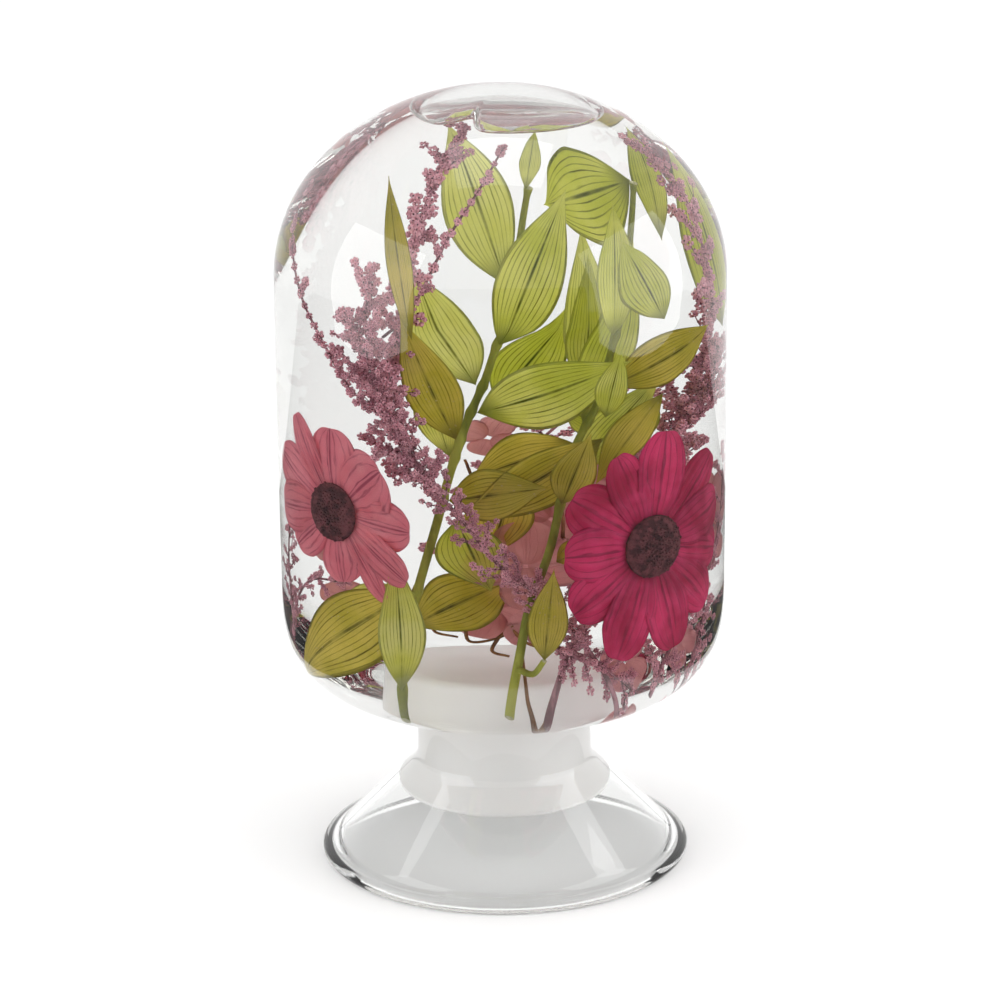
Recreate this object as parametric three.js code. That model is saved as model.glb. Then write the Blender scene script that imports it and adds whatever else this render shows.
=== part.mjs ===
// Preserved flowers under a glass dome: a liquid-filled glass capsule on a hollow flared foot,
// closed from below by a soft stopper, with two leafy ruscus stems, two daisies and dried sprays.
// Millimetres, +Z up. The origin is the centre of the foot's rim, on the surface it stands on.
import * as THREE from 'three';
import { mergeVertices } from 'three/addons/utils/BufferGeometryUtils.js';

// ---- Glass vessel ----
const crownZ = 195; // top of the dome
const springZ = 149; // the dome starts here
const shoulderZ = 75.5; // the rounded bottom starts here
const bottomZ = 40.8; // underside of the body
const bodyRadius = 55;
const bottomExponent = 3.5; // a superellipse, squarer than a circle
const wall = 3;
const neckRadius = 21.7;
const boreRadius = 19.5;
const neckFillet = 2.4;
const coneTopZ = 25; // the foot leaves the neck here, at 45 degrees
const coneWall = 3.7; // measured level
const footRadius = 46;
const rimHeight = 2.6;
const rimInnerRadius = 42.3;
const glassSegments = 40;

// ---- Stopper ----
const fitGap = 0.3; // between touching pieces
const stopperTopZ = 56;
const stopperBottomZ = 14.5;
const stopperHeadRadius = 25.2;
const stopperChamfer = 1.2;

// ---- Plants ----
const stemRadius = 1;
const sprigRadius = 0.6;
const bladeThickness = 0.8;
const bladeRows = 7;
const glassClearance = 1.6; // between the plants and the inside of the glass
const stalkGap = 2; // a leaf starts this far from its stem's centreline
const leafOutline = { widest: 0.42, taper: 2.1 };
const petalOutline = { widest: 0.66, taper: 1.1 };
const front = new THREE.Vector3(0, -1, 0);
const up = new THREE.Vector3(0, 0, 1);

const group = new THREE.Group();

function finish(colour, roughness, extra = {}) {
  return new THREE.MeshStandardMaterial({ color: colour, roughness, metalness: 0, ...extra });
}

const finishes = {
  glass: finish(0xf2f5f4, 0.03, { transparent: true, opacity: 0.25 }),
  silicone: finish(0xf4f3ef, 0.45),
  stem: finish(0x7d8a2c, 0.6),
  leaf: finish(0x9aa63c, 0.5),
  oliveLeaf: finish(0x8a7f35, 0.5),
  crimsonPetal: finish(0x9c1f52, 0.45),
  rosePetal: finish(0xa8506e, 0.45),
  disc: finish(0x4a1c28, 0.8),
  sprig: finish(0x8a5a68, 0.8),
  twig: finish(0x6e4a2c, 0.8),
};

// Merges a geometry's vertices, drops triangles with no area and turns its faces outwards.
function solid(geometry) {
  geometry.deleteAttribute('normal');
  geometry.deleteAttribute('uv');
  const merged = mergeVertices(geometry, 1e-4);
  const place = merged.attributes.position;
  const corner = [0, 1, 2].map(() => new THREE.Vector3());
  const kept = [];
  let volume = 0;
  for (let i = 0; i < merged.index.count; i += 3) {
    const triangle = [0, 1, 2].map((k) => merged.index.getX(i + k));
    if (new Set(triangle).size < 3) continue;
    triangle.forEach((v, k) => corner[k].fromBufferAttribute(place, v));
    volume += corner[0].dot(corner[1].clone().cross(corner[2]));
    kept.push(triangle);
  }
  merged.setIndex(kept.flatMap((triangle) => (volume < 0 ? triangle.reverse() : triangle)));
  merged.computeVertexNormals();
  return merged;
}

function add(name, geometry, material) {
  const mesh = new THREE.Mesh(solid(geometry), material);
  mesh.name = name;
  group.add(mesh);
}

// A solid of revolution about Z from [radius, z] points.
function turned(points, segments) {
  const profile = points.map(([r, z]) => new THREE.Vector2(r, z));
  return new THREE.LatheGeometry(profile, segments).rotateX(Math.PI / 2);
}

// ---- Glass vessel: one blown piece, open at the neck ----

// One face of the body's wall, from the crown down to the neck, at a distance inside the outer face.
function bodyFace(inset, endRadius) {
  const radius = bodyRadius - inset;
  const domeHeight = crownZ - inset - springZ;
  const bottomHeight = shoulderZ - bottomZ - inset;
  const points = [];
  const domeSteps = 8;
  for (let i = 0; i <= domeSteps; i++) {
    const turn = (i / domeSteps) * (Math.PI / 2);
    points.push([i === 0 ? 0 : radius * Math.sin(turn), springZ + domeHeight * Math.cos(turn)]);
  }
  const bottomSteps = 7;
  const across = endRadius / radius;
  const down = (1 - across ** bottomExponent) ** (1 / bottomExponent);
  const lastTurn = Math.atan2(down, across);
  for (let i = 0; i <= bottomSteps; i++) {
    const turn = (i / bottomSteps) * lastTurn;
    const [c, s] = [Math.cos(turn), Math.sin(turn)];
    const reach = (c ** bottomExponent + s ** bottomExponent) ** (-1 / bottomExponent);
    points.push([radius * c * reach, shoulderZ - bottomHeight * s * reach]);
  }
  return points;
}

function glassVessel() {
  const outerCone = neckRadius + coneTopZ; // radius plus height, along the cone's outer face
  const innerCone = outerCone - coneWall;
  const floorZ = bottomZ + wall;
  const rimEdge = rimHeight / 2;
  const inside = [
    ...bodyFace(wall, boreRadius + neckFillet),
    [boreRadius + neckFillet * 0.3, floorZ - neckFillet * 0.3],
    [boreRadius, floorZ - neckFillet],
    [boreRadius, innerCone - boreRadius],
    [innerCone - rimHeight * 1.5, rimHeight * 1.5],
    [rimInnerRadius - rimEdge * 0.6, rimEdge],
    [rimInnerRadius, 0],
  ];
  const outside = [
    ...bodyFace(0, neckRadius + neckFillet),
    [neckRadius + neckFillet * 0.3, bottomZ - neckFillet * 0.1],
    [neckRadius, bottomZ - neckFillet],
    [neckRadius, coneTopZ + 0.8],
    [neckRadius + 0.8, coneTopZ - 0.8],
    [outerCone - rimHeight * 1.5, rimHeight * 1.5],
    [footRadius - rimEdge, rimHeight],
    [footRadius - rimEdge * 0.3, rimHeight - rimEdge * 0.3],
    [footRadius, rimEdge],
    [footRadius - rimEdge * 0.3, rimEdge * 0.3],
    [footRadius - rimEdge, 0],
  ];
  return turned([...inside, ...outside.reverse()], glassSegments);
}

// ---- Stopper: a shaft in the neck and a head that seats in the foot's cone ----

function stopper() {
  const shaftRadius = boreRadius - fitGap;
  const coneLine = neckRadius + coneTopZ - coneWall - fitGap * Math.SQRT2;
  return turned([
    [0, stopperBottomZ],
    [stopperHeadRadius - 2.2, stopperBottomZ],
    [stopperHeadRadius - 0.6, stopperBottomZ + 0.9],
    [stopperHeadRadius, coneLine - stopperHeadRadius],
    [shaftRadius, coneLine - shaftRadius],
    [shaftRadius, stopperTopZ - stopperChamfer],
    [shaftRadius - stopperChamfer * 0.3, stopperTopZ - stopperChamfer * 0.3],
    [shaftRadius - stopperChamfer, stopperTopZ],
    [0, stopperTopZ],
  ], glassSegments);
}

// ---- Plants ----

// The radius of the glass's inner face at a height.
function innerRadius(z) {
  const radius = bodyRadius - wall;
  if (z > springZ) {
    const rise = Math.min(1, (z - springZ) / (crownZ - wall - springZ));
    return radius * Math.sqrt(1 - rise ** 2);
  }
  const drop = Math.min(1, Math.max(0, (shoulderZ - z) / (shoulderZ - bottomZ - wall)));
  return radius * (1 - drop ** bottomExponent) ** (1 / bottomExponent);
}

// Draws a point back to the inside of the glass, where a leaf or petal presses on it.
function keepInside(point) {
  const limit = innerRadius(point.z) - glassClearance;
  const reach = Math.hypot(point.x, point.y);
  if (reach > limit) point.multiply(new THREE.Vector3(limit / reach, limit / reach, 1));
  return point;
}

function vector([x, y, z]) {
  return new THREE.Vector3(x, y, z);
}

function curveThrough(points) {
  return new THREE.CatmullRomCurve3(points.map(vector), false, 'centripetal');
}

function tube(curve, radius, sides, steps) {
  const section = new THREE.Shape();
  for (let i = 0; i < sides; i++) {
    const turn = (i / sides) * 2 * Math.PI;
    const corner = [radius * Math.cos(turn), radius * Math.sin(turn)];
    if (i === 0) section.moveTo(...corner);
    else section.lineTo(...corner);
  }
  section.closePath();
  return new THREE.ExtrudeGeometry(section, { extrudePath: curve, steps, curveSegments: 1 });
}

// A leaf or petal: a thin lens-shaped blade from base to tip, facing one way, bowed along that way.
function blade({ base, tip, width, facing, bow, cup, outline }) {
  const along = tip.clone().sub(base).normalize();
  const face = facing.clone().addScaledVector(along, -facing.dot(along)).normalize();
  const middle = base.clone().add(tip).multiplyScalar(0.5).addScaledVector(face, 2 * bow);
  const spine = new THREE.QuadraticBezierCurve3(base, middle, tip);
  const [rise, fall] = [outline.widest * outline.taper, (1 - outline.widest) * outline.taper];
  const vertices = [keepInside(base.clone())];
  for (let row = 1; row < bladeRows; row++) {
    const t = row / bladeRows;
    const spread = (t / outline.widest) ** rise * ((1 - t) / (1 - outline.widest)) ** fall;
    const half = (width / 2) * spread;
    const centre = keepInside(spine.getPoint(t));
    const tangent = spine.getTangent(t);
    const normal = face.clone().addScaledVector(tangent, -face.dot(tangent)).normalize();
    const side = normal.clone().cross(tangent);
    const edge = (sign) => keepInside(
      centre.clone().addScaledVector(side, sign * half).addScaledVector(normal, cup * half),
    );
    vertices.push(
      edge(-1),
      centre.clone().addScaledVector(normal, bladeThickness / 2),
      edge(1),
      centre.clone().addScaledVector(normal, -bladeThickness / 2),
    );
  }
  vertices.push(keepInside(tip.clone()));
  const index = [];
  const last = vertices.length - 1;
  for (let k = 0; k < 4; k++) {
    const next = (k + 1) % 4;
    index.push(0, 1 + next, 1 + k);
    for (let row = 0; row < bladeRows - 2; row++) {
      const [a, b] = [1 + 4 * row + k, 1 + 4 * row + next];
      index.push(a, b, b + 4, a, b + 4, a + 4);
    }
    index.push(last, last - 4 + k, last - 4 + next);
  }
  const geometry = new THREE.BufferGeometry();
  const values = vertices.flatMap((v) => [v.x, v.y, v.z]);
  geometry.setAttribute('position', new THREE.Float32BufferAttribute(values, 3));
  geometry.setIndex(index);
  return geometry;
}

// Where a leaf leaves its stem: beside the centreline at a height, on the side of the leaf's tip.
function stemSide(curve, z, tip) {
  let [low, high] = [0, 1];
  for (let i = 0; i < 30; i++) {
    const t = (low + high) / 2;
    if (curve.getPoint(t).z < z) low = t;
    else high = t;
  }
  const point = curve.getPoint(low);
  const tangent = curve.getTangent(low);
  const out = tip.clone().sub(point);
  out.addScaledVector(tangent, -out.dot(tangent)).normalize();
  return point.addScaledVector(out, stalkGap);
}

// from is a height on the stem, or the loose leaf's own base point. roll turns the face from the front.
function leaf(name, stem, { from, tip, width, roll = 0, bow = 0, cup = 0.15, olive = false }) {
  const end = vector(tip);
  const base = Array.isArray(from) ? vector(from) : stemSide(stem, from, end);
  const along = end.clone().sub(base).normalize();
  const level = front.clone().addScaledVector(along, -front.dot(along)).normalize();
  const facing = level.applyAxisAngle(along, THREE.MathUtils.degToRad(roll));
  const shape = { base, tip: end, width, facing, bow, cup, outline: leafOutline };
  add(name, blade(shape), olive ? finishes.oliveLeaf : finishes.leaf);
}

// Each petal is [degrees clockwise from the top, length from the centre, width, lift along the axis].
function daisy(name, { centre, axis, discRadius, discHeight, petals }, material) {
  const middle = vector(centre);
  const facing = vector(axis).normalize();
  const right = up.clone().cross(facing).normalize();
  const top = facing.clone().cross(right);
  petals.forEach(([degrees, length, width, lift], i) => {
    const turn = THREE.MathUtils.degToRad(degrees);
    const out = right.clone().multiplyScalar(Math.sin(turn)).addScaledVector(top, Math.cos(turn));
    const base = middle.clone().addScaledVector(out, discRadius + 0.5);
    const tip = middle.clone().addScaledVector(out, length).addScaledVector(facing, lift);
    const shape = { base, tip, width, facing, bow: 0.8, cup: -0.1, outline: petalOutline };
    add(`${name}_petal_${String(i + 1).padStart(2, '0')}`, blade(shape), material);
  });
  const disc = turned([
    [0, -discHeight * 0.6],
    [discRadius * 0.7, -discHeight * 0.55],
    [discRadius, 0],
    [discRadius * 0.85, discHeight * 0.7],
    [discRadius * 0.4, discHeight],
    [0, discHeight],
  ], 14);
  disc.applyQuaternion(new THREE.Quaternion().setFromUnitVectors(up, facing));
  disc.translate(...centre);
  add(`${name}_disc`, disc, finishes.disc);
}

// ---- The arrangement ----

const leftStem = curveThrough([
  [-21, -27, 52], [-20, -24, 64], [-17, -20, 76], [-12, -15, 95], [-10, -13, 104], [-6, -9, 119],
  [-3, -7, 128], [-1, -6, 136], [2, -3, 146], [4, 0, 156], [5, 0, 161],
]);
const rightStem = curveThrough([
  [1, -30, 53], [3, -28, 63], [5, -26, 75], [9, -21, 89], [11, -16, 101], [13, -12, 112],
  [17, -8, 123], [19, -5, 135], [21, -4, 145], [23, -3, 154], [25, -2, 164],
]);

const leftLeaves = [
  { from: 137, tip: [13, -13, 167], width: 12, bow: 2 },
  { from: 127, tip: [-15, -2, 149], width: 12, bow: -1 },
  { from: 110, tip: [-13, 1, 129], width: 8 },
  { from: 146, tip: [-9, 12, 168], width: 12, bow: -1 },
  { from: 114, tip: [-20, -24, 147], width: 11, bow: 1, olive: true },
  { from: 121, tip: [25, -16, 134], width: 16, bow: 3 },
  { from: 100, tip: [9, -19, 104], width: 13, roll: -15, bow: 2, olive: true },
  { from: 70, tip: [2, 0, 77], width: 15, roll: -20, bow: 1, olive: true },
  { from: 78, tip: [-44, -8, 62], width: 14, roll: 10, bow: 2, olive: true },
  { from: 56, tip: [-21, -33, 88], width: 11, bow: 3 },
  { from: 161, tip: [7, -2, 175], width: 4 },
  { from: [-1, 8, 120], tip: [10, 13, 140], width: 11, bow: -1 },
];
const rightLeaves = [
  { from: 164, tip: [10, 12, 157], width: 15, roll: 12, bow: 2, cup: -0.1 },
  { from: 126, tip: [46, -17, 141], width: 12, roll: -10, bow: -1, olive: true },
  { from: [13, 6, 124], tip: [14, 8, 148], width: 9 },
  { from: 118, tip: [22, 6, 152], width: 9, bow: -3 },
  { from: 141, tip: [22, -16, 152], width: 6, roll: 40, olive: true },
  { from: [33, -20, 144], tip: [25, -26, 162], width: 12 },
  { from: [27, 5, 151], tip: [27, 1, 179], width: 7, bow: -1 },
  { from: 106, tip: [27, 1, 127], width: 10, bow: -2 },
  { from: [20, -20, 121], tip: [24, -23, 138], width: 7, bow: 1 },
  { from: 99, tip: [17, -19, 117], width: 9, bow: 1, olive: true },
  { from: [8.5, -34, 64], tip: [11, -39, 88], width: 9, bow: 1, olive: true },
  { from: [34, 14, 133], tip: [29, 17, 165], width: 8 },
];
const looseLeaves = [
  { from: [-18, -29, 140], tip: [-25, -26, 175], width: 6, olive: true },
];

const crimsonDaisy = {
  centre: [33, -30, 90],
  axis: [0.6, -0.8, 0.05],
  discRadius: 7,
  discHeight: 3,
  petals: [
    [8, 28, 10, 0], [45, 27, 8, -1], [74, 25, 9, 0], [104, 23, 9, -1], [137, 25, 9, 0], [168, 27, 9, -0.5],
    [203, 28, 10, 0], [239, 25, 10, -1], [274, 24, 10, 0], [306, 26, 10, -1], [338, 26, 8, 0.5],
  ],
};
const roseDaisy = {
  centre: [-37, -26, 98],
  axis: [-0.74, -0.67, 0.05],
  discRadius: 6.5,
  discHeight: 3,
  petals: [
    [-14, 25, 8, 0], [18, 22, 9, -0.5], [58, 24, 12, 0], [98, 27, 10, -1], [134, 27, 6, 0.5], [172, 16, 9, 0],
    [-142, 22, 9, -0.5], [-96, 23, 10, 0], [-52, 24, 9, -0.5],
  ],
};

const sprigs = {
  sprig_front: [
    [24, -25, 52], [20, -27, 60], [15, -30, 69], [10, -32, 77], [-1, -33, 88], [-9, -34, 100],
    [-16, -33, 109], [-21, -31, 117], [-25, -27, 128], [-28, -25, 141],
  ],
  sprig_left_tall: [
    [-23, -23, 124], [-20, -17, 136], [-18, -15, 148], [-16, -16, 158], [-13, -12, 168], [-7, -10, 181],
  ],
  sprig_left_slim: [
    [-22, -15, 140], [-17, -20, 147], [-14, -22, 153], [-10, -20, 160], [-4, -18, 169], [1, -17, 179],
  ],
  sprig_left_outer: [
    [-30, -20, 127], [-34, -14, 136], [-37, -8, 144], [-40, -4, 152], [-42, -2, 160], [-40, 0, 168],
  ],
  sprig_right_tall: [
    [24, 12, 104], [29, 12, 122], [35, 7, 140], [36, 3, 152], [34, 2, 163], [28, -1, 175],
  ],
  sprig_low_right: [[30, -20, 54], [34, -17, 62], [41, -11, 74], [45, -4, 88], [44, 2, 104]],
  sprig_low_front: [[6, -26, 53], [9, -25, 60], [13, -25, 69]],
};
const hydrangeaTwig = [[-13, 4, 65], [-5, 6, 63], [1, 8, 70], [8, 10, 78], [16, 12, 90]];

add('glass_vessel', glassVessel(), finishes.glass);
add('stopper', stopper(), finishes.silicone);
add('left_stem', tube(leftStem, stemRadius, 6, 16), finishes.stem);
add('right_stem', tube(rightStem, stemRadius, 6, 16), finishes.stem);
leftLeaves.forEach((spec, i) => leaf(`left_stem_leaf_${i + 1}`, leftStem, spec));
rightLeaves.forEach((spec, i) => leaf(`right_stem_leaf_${i + 1}`, rightStem, spec));
looseLeaves.forEach((spec, i) => leaf(`loose_leaf_${i + 1}`, null, spec));
daisy('crimson_daisy', crimsonDaisy, finishes.crimsonPetal);
daisy('rose_daisy', roseDaisy, finishes.rosePetal);
for (const [name, points] of Object.entries(sprigs)) {
  add(name, tube(curveThrough(points), sprigRadius, 5, 12), finishes.sprig);
}
add('hydrangea_twig', tube(curveThrough(hydrangeaTwig), sprigRadius, 5, 10), finishes.twig);

export default group;
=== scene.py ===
"""Preserved flowers in a liquid-filled glass dome on a flared foot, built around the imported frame.

The frame holds the vessel, its stopper, two ruscus stems with their leaves, a loose leaf, two daisies, seven
dried sprigs and a twig as plain solids. Each class below makes the finished pieces of one of them. Design
lists are in millimetres, as in the frame's own design, and MM turns them into metres.
"""

import logging
import math
import random
from dataclasses import dataclass, field
from enum import Enum
from typing import Any, Callable, Optional, Sequence, Union

import bpy
import numpy as np
from mathutils import Matrix, Vector


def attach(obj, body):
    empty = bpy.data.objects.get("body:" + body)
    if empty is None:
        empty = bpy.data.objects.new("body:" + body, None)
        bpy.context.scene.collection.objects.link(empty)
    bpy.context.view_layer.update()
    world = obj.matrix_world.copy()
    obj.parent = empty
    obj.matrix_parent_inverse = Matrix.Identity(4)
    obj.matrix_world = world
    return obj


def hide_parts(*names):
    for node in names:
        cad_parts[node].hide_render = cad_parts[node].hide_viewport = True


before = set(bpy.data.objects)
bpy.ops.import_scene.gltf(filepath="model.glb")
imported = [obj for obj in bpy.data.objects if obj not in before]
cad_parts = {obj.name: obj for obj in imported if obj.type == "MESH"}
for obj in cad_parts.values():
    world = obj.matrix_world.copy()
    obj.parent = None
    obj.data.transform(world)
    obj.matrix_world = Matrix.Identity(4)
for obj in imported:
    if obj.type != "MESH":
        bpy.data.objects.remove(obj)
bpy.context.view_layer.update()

LOG = logging.getLogger("flower_dome")
BODY = "root"
MM = 0.001
FRONT = np.array([0.0, -1.0, 0.0])
UP = np.array([0.0, 0.0, 1.0])
GOLDEN_ANGLE = math.pi * (3 - math.sqrt(5))

Colour = tuple[float, float, float]
Point = tuple[float, float, float]
Profile = list[tuple[float, float]]
Socket = bpy.types.NodeSocket


class Slot(Enum):
    """The record's material slots."""

    GLASS = "glass"
    LIQUID = "liquid"
    SILICONE = "silicone"
    STEM = "stem"
    LEAF = "leaf"
    OLIVE_LEAF = "olive_leaf"
    CRIMSON_PETAL = "crimson_petal"
    ROSE_PETAL = "rose_petal"
    FLOWER_DISC = "flower_disc"
    SPRIG = "sprig"
    FLORET = "floret"
    TWIG = "twig"


# ---- Node trees ----


class Nodes:
    """Adds nodes to a node tree, with their settings and inputs in one call."""

    def __init__(self, tree: bpy.types.NodeTree) -> None:
        """Args:
            tree: the material's or Geometry Nodes tree to fill.
        """
        self.tree = tree

    def add(self, kind: str, inputs: Optional[dict[Any, Any]] = None, **settings: Any) -> bpy.types.Node:
        """Adds one node.

        Args:
            kind: the node's type name.
            inputs: values or sockets for its inputs, by name or number.
            settings: the node's own properties.

        Returns:
            The new node.
        """
        node = self.tree.nodes.new(kind)
        for key, value in settings.items():
            setattr(node, key, value)
        for key, value in (inputs or {}).items():
            socket = node.inputs[key]
            if isinstance(value, Socket):
                self.tree.links.new(value, socket)
            else:
                socket.default_value = value
        return node

    def math(self, operation: str, first: Any, second: Any = 0.0, third: Any = 0.0) -> Socket:
        """Adds a Math node and returns its output."""
        node = self.add("ShaderNodeMath", {0: first, 1: second, 2: third}, operation=operation)
        return node.outputs[0]

    def mix(self, factor: Any, first: Any, second: Any) -> Socket:
        """Mixes two colours and returns the result.

        Args:
            factor: the share of the second colour, a number or a socket.
            first: the colour at 0.
            second: the colour at 1.

        Returns:
            The mixed colour.
        """
        node = self.add("ShaderNodeMix", data_type="RGBA", blend_type="MIX")
        for number, value in ((0, factor), (6, first), (7, second)):
            if isinstance(value, Socket):
                self.tree.links.new(value, node.inputs[number])
            else:
                node.inputs[number].default_value = value if number == 0 else rgba(value)
        return node.outputs[2]

    def smooth(self, value: Any, low: float, high: float) -> Socket:
        """A smooth step of value, from 0 at low to 1 at high.

        Args:
            value: the value or socket.
            low: where the step starts.
            high: where it ends.

        Returns:
            The step, from 0 to 1.
        """
        node = self.add(
            "ShaderNodeMapRange",
            {"Value": value, "From Min": low, "From Max": high},
            interpolation_type="SMOOTHSTEP",
        )
        return node.outputs["Result"]

    def noise(self, vector: Socket, scale: float, detail: float = 2.0) -> Socket:
        """A noise value between 0 and 1."""
        node = self.add("ShaderNodeTexNoise", {"Vector": vector, "Scale": scale, "Detail": detail})
        return node.outputs["Fac"]

    def place(self) -> Socket:
        """The point on the object, in its own coordinates."""
        return self.add("ShaderNodeTexCoord").outputs["Object"]


def rgba(colour: Sequence[float]) -> tuple[float, float, float, float]:
    """A colour with full alpha."""
    return (colour[0], colour[1], colour[2], 1.0)


def new_material(name: str) -> tuple[bpy.types.Material, Nodes, bpy.types.Node]:
    """Makes an empty material.

    Args:
        name: its name.

    Returns:
        The material, its nodes and its output node.
    """
    material = bpy.data.materials.new(name)
    material.use_nodes = True
    material.node_tree.nodes.clear()
    nodes = Nodes(material.node_tree)
    return material, nodes, nodes.add("ShaderNodeOutputMaterial")


MADE_MATERIALS: dict[str, bpy.types.Material] = {}


class Finish:
    """A finish, which makes its material once."""

    name: str

    def build(self, nodes: Nodes, output: bpy.types.Node) -> None:
        """Fills the material's nodes."""
        raise NotImplementedError

    def material(self) -> bpy.types.Material:
        """The finish's material, made at its first use.

        Returns:
            The material.
        """
        if self.name not in MADE_MATERIALS:
            material, nodes, output = new_material(f"{self.name}_finish")
            self.build(nodes, output)
            MADE_MATERIALS[self.name] = material
        return MADE_MATERIALS[self.name]


@dataclass(frozen=True)
class ClearFinish(Finish):
    """Clear glass or liquid. The IOR is that of the side behind the face against the side in front of it."""

    name: str
    ior: float
    # the clear glass's own slight tint; on the wetted glass this grey is painted shade
    tint_and_painted_shade: Colour = (1.0, 1.0, 1.0)

    def build(self, nodes: Nodes, output: bpy.types.Node) -> None:
        """Plain transmission with no roughness.

        Args:
            nodes: where the shader's nodes go.
            output: the material's output node.
        """
        shader = nodes.add("ShaderNodeBsdfPrincipled", {
            "Base Color": rgba(self.tint_and_painted_shade),
            "Roughness": 0.0,
            "IOR": self.ior,
            "Transmission Weight": 1.0,
        })
        nodes.tree.links.new(shader.outputs[0], output.inputs["Surface"])


@dataclass(frozen=True)
class SiliconeFinish(Finish):
    """White moulded silicone, a little translucent, with faint mould mottling."""

    name: str
    colour: Colour
    shade: Colour
    roughness: float = 0.42
    mottle_scale: float = 45.0
    grain_scale: float = 900.0
    grain_strength: float = 0.06
    softness: float = 0.15  # the share of light that wanders inside it
    depth: float = 0.006  # how far that light wanders, in metres

    def build(self, nodes: Nodes, output: bpy.types.Node) -> None:
        """A satin white body with a soft inner glow.

        Args:
            nodes: where the shader's nodes go.
            output: the material's output node.
        """
        place = nodes.place()
        mottle = nodes.noise(place, self.mottle_scale, 3.0)
        colour = nodes.mix(nodes.smooth(mottle, 0.35, 0.7), self.colour, self.shade)
        grain = nodes.noise(place, self.grain_scale, 2.0)
        bump = nodes.add("ShaderNodeBump", {
            "Height": grain, "Strength": self.grain_strength, "Distance": 0.0002,
        })
        shader = nodes.add("ShaderNodeBsdfPrincipled", {
            "Base Color": colour,
            "Roughness": self.roughness,
            "Subsurface Weight": self.softness,
            "Subsurface Radius": (self.depth,) * 3,
            "Subsurface Scale": 1.0,
            "Normal": bump.outputs[0],
        })
        nodes.tree.links.new(shader.outputs[0], output.inputs["Surface"])


@dataclass(frozen=True)
class BladeFinish(Finish):
    """A thin translucent leaf, petal or bract with veins that run from its base to its tip."""

    name: str
    pale: Colour
    deep: Colour
    vein: Colour
    veins: float
    vein_strength: float
    glow: float  # the share of light that passes through
    roughness: float = 0.5
    margin: float = 0.5
    base_shade: float = 0.6
    speckle: float = 0.0
    speck_colour: Colour = (0.75, 0.66, 0.3)
    speck_scale: float = 900.0
    mottle_scale: float = 90.0
    wander: float = 1.1  # how far the veins stray, in gaps between them
    fine_fade: float = 0.14  # where a fine vein has faded out, in gaps between them
    bold_fade: float = 0.045
    midrib_fade: tuple[float, float] = (0.008, 0.03)
    base_length: float = 0.22
    relief: float = 0.35

    def build(self, nodes: Nodes, output: bpy.types.Node) -> None:
        """Veins follow the blade's own UV map: U crosses it and V runs from base to tip.

        Args:
            nodes: where the shader's nodes go.
            output: the material's output node.
        """
        uv = nodes.add("ShaderNodeUVMap", uv_map="UVMap").outputs[0]
        split = nodes.add("ShaderNodeSeparateXYZ", {0: uv})
        across, along = split.outputs[0], split.outputs[1]
        place = nodes.place()
        mottle = nodes.noise(place, self.mottle_scale, 4.0)
        # fine veins that wander a little, with a bolder one in every four and a midrib
        stretched = nodes.add("ShaderNodeVectorMath", {0: uv, 1: (6.0, 1.6, 1.0)}, operation="MULTIPLY")
        wobble = nodes.noise(stretched.outputs[0], 1.5, 2.0)
        count = nodes.math("MULTIPLY_ADD", wobble, self.wander, nodes.math("MULTIPLY", across, self.veins))
        fine = nodes.math("PINGPONG", count, 0.5)
        bold = nodes.math("PINGPONG", nodes.math("MULTIPLY", count, 0.25), 0.5)
        fine_line = nodes.math("SUBTRACT", 1.0, nodes.smooth(fine, 0.0, self.fine_fade))
        bold_line = nodes.math("SUBTRACT", 1.0, nodes.smooth(bold, 0.0, self.bold_fade))
        off_centre = nodes.math("ABSOLUTE", nodes.math("SUBTRACT", across, 0.5))
        midrib = nodes.math("SUBTRACT", 1.0, nodes.smooth(off_centre, *self.midrib_fade))
        lines = nodes.math("MAXIMUM", nodes.math("MULTIPLY", fine_line, 0.75), bold_line)
        lines = nodes.math("MAXIMUM", lines, midrib)
        patch = nodes.noise(place, self.mottle_scale * 2.2, 3.0)
        lines = nodes.math("MULTIPLY", lines, nodes.smooth(patch, 0.15, 0.65))
        # a deeper tone along the edge and at the base
        margin = nodes.math("MULTIPLY", nodes.smooth(off_centre, 0.44, 0.5), self.margin)
        base = nodes.math("SUBTRACT", 1.0, nodes.smooth(along, 0.0, self.base_length))
        base = nodes.math("MULTIPLY", base, self.base_shade)
        colour = nodes.mix(nodes.smooth(mottle, 0.3, 0.7), self.pale, self.deep)
        dark = nodes.math("MAXIMUM", nodes.math("MULTIPLY", lines, self.vein_strength), margin)
        dark = nodes.math("MAXIMUM", dark, base)
        colour = nodes.mix(dark, colour, self.vein)
        if self.speckle:
            cells = nodes.add("ShaderNodeTexVoronoi", {"Vector": place, "Scale": self.speck_scale})
            dots = nodes.math("SUBTRACT", 1.0, nodes.smooth(cells.outputs["Distance"], 0.1, 0.22))
            patches = nodes.smooth(nodes.noise(place, 150.0), 0.5, 0.62)
            dots = nodes.math("MULTIPLY", nodes.math("MULTIPLY", dots, patches), self.speckle)
            colour = nodes.mix(dots, colour, self.speck_colour)
        bump = nodes.add("ShaderNodeBump", {"Height": lines, "Strength": self.relief, "Distance": 0.0003})
        surface = nodes.add("ShaderNodeBsdfPrincipled", {
            "Base Color": colour,
            "Roughness": self.roughness,
            "Specular IOR Level": 0.35,
            "Normal": bump.outputs[0],
        })
        through = nodes.add("ShaderNodeBsdfTranslucent", {"Color": colour, "Normal": bump.outputs[0]})
        blend = nodes.add("ShaderNodeMixShader", {0: self.glow, 1: surface.outputs[0], 2: through.outputs[0]})
        nodes.tree.links.new(blend.outputs[0], output.inputs["Surface"])


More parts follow.
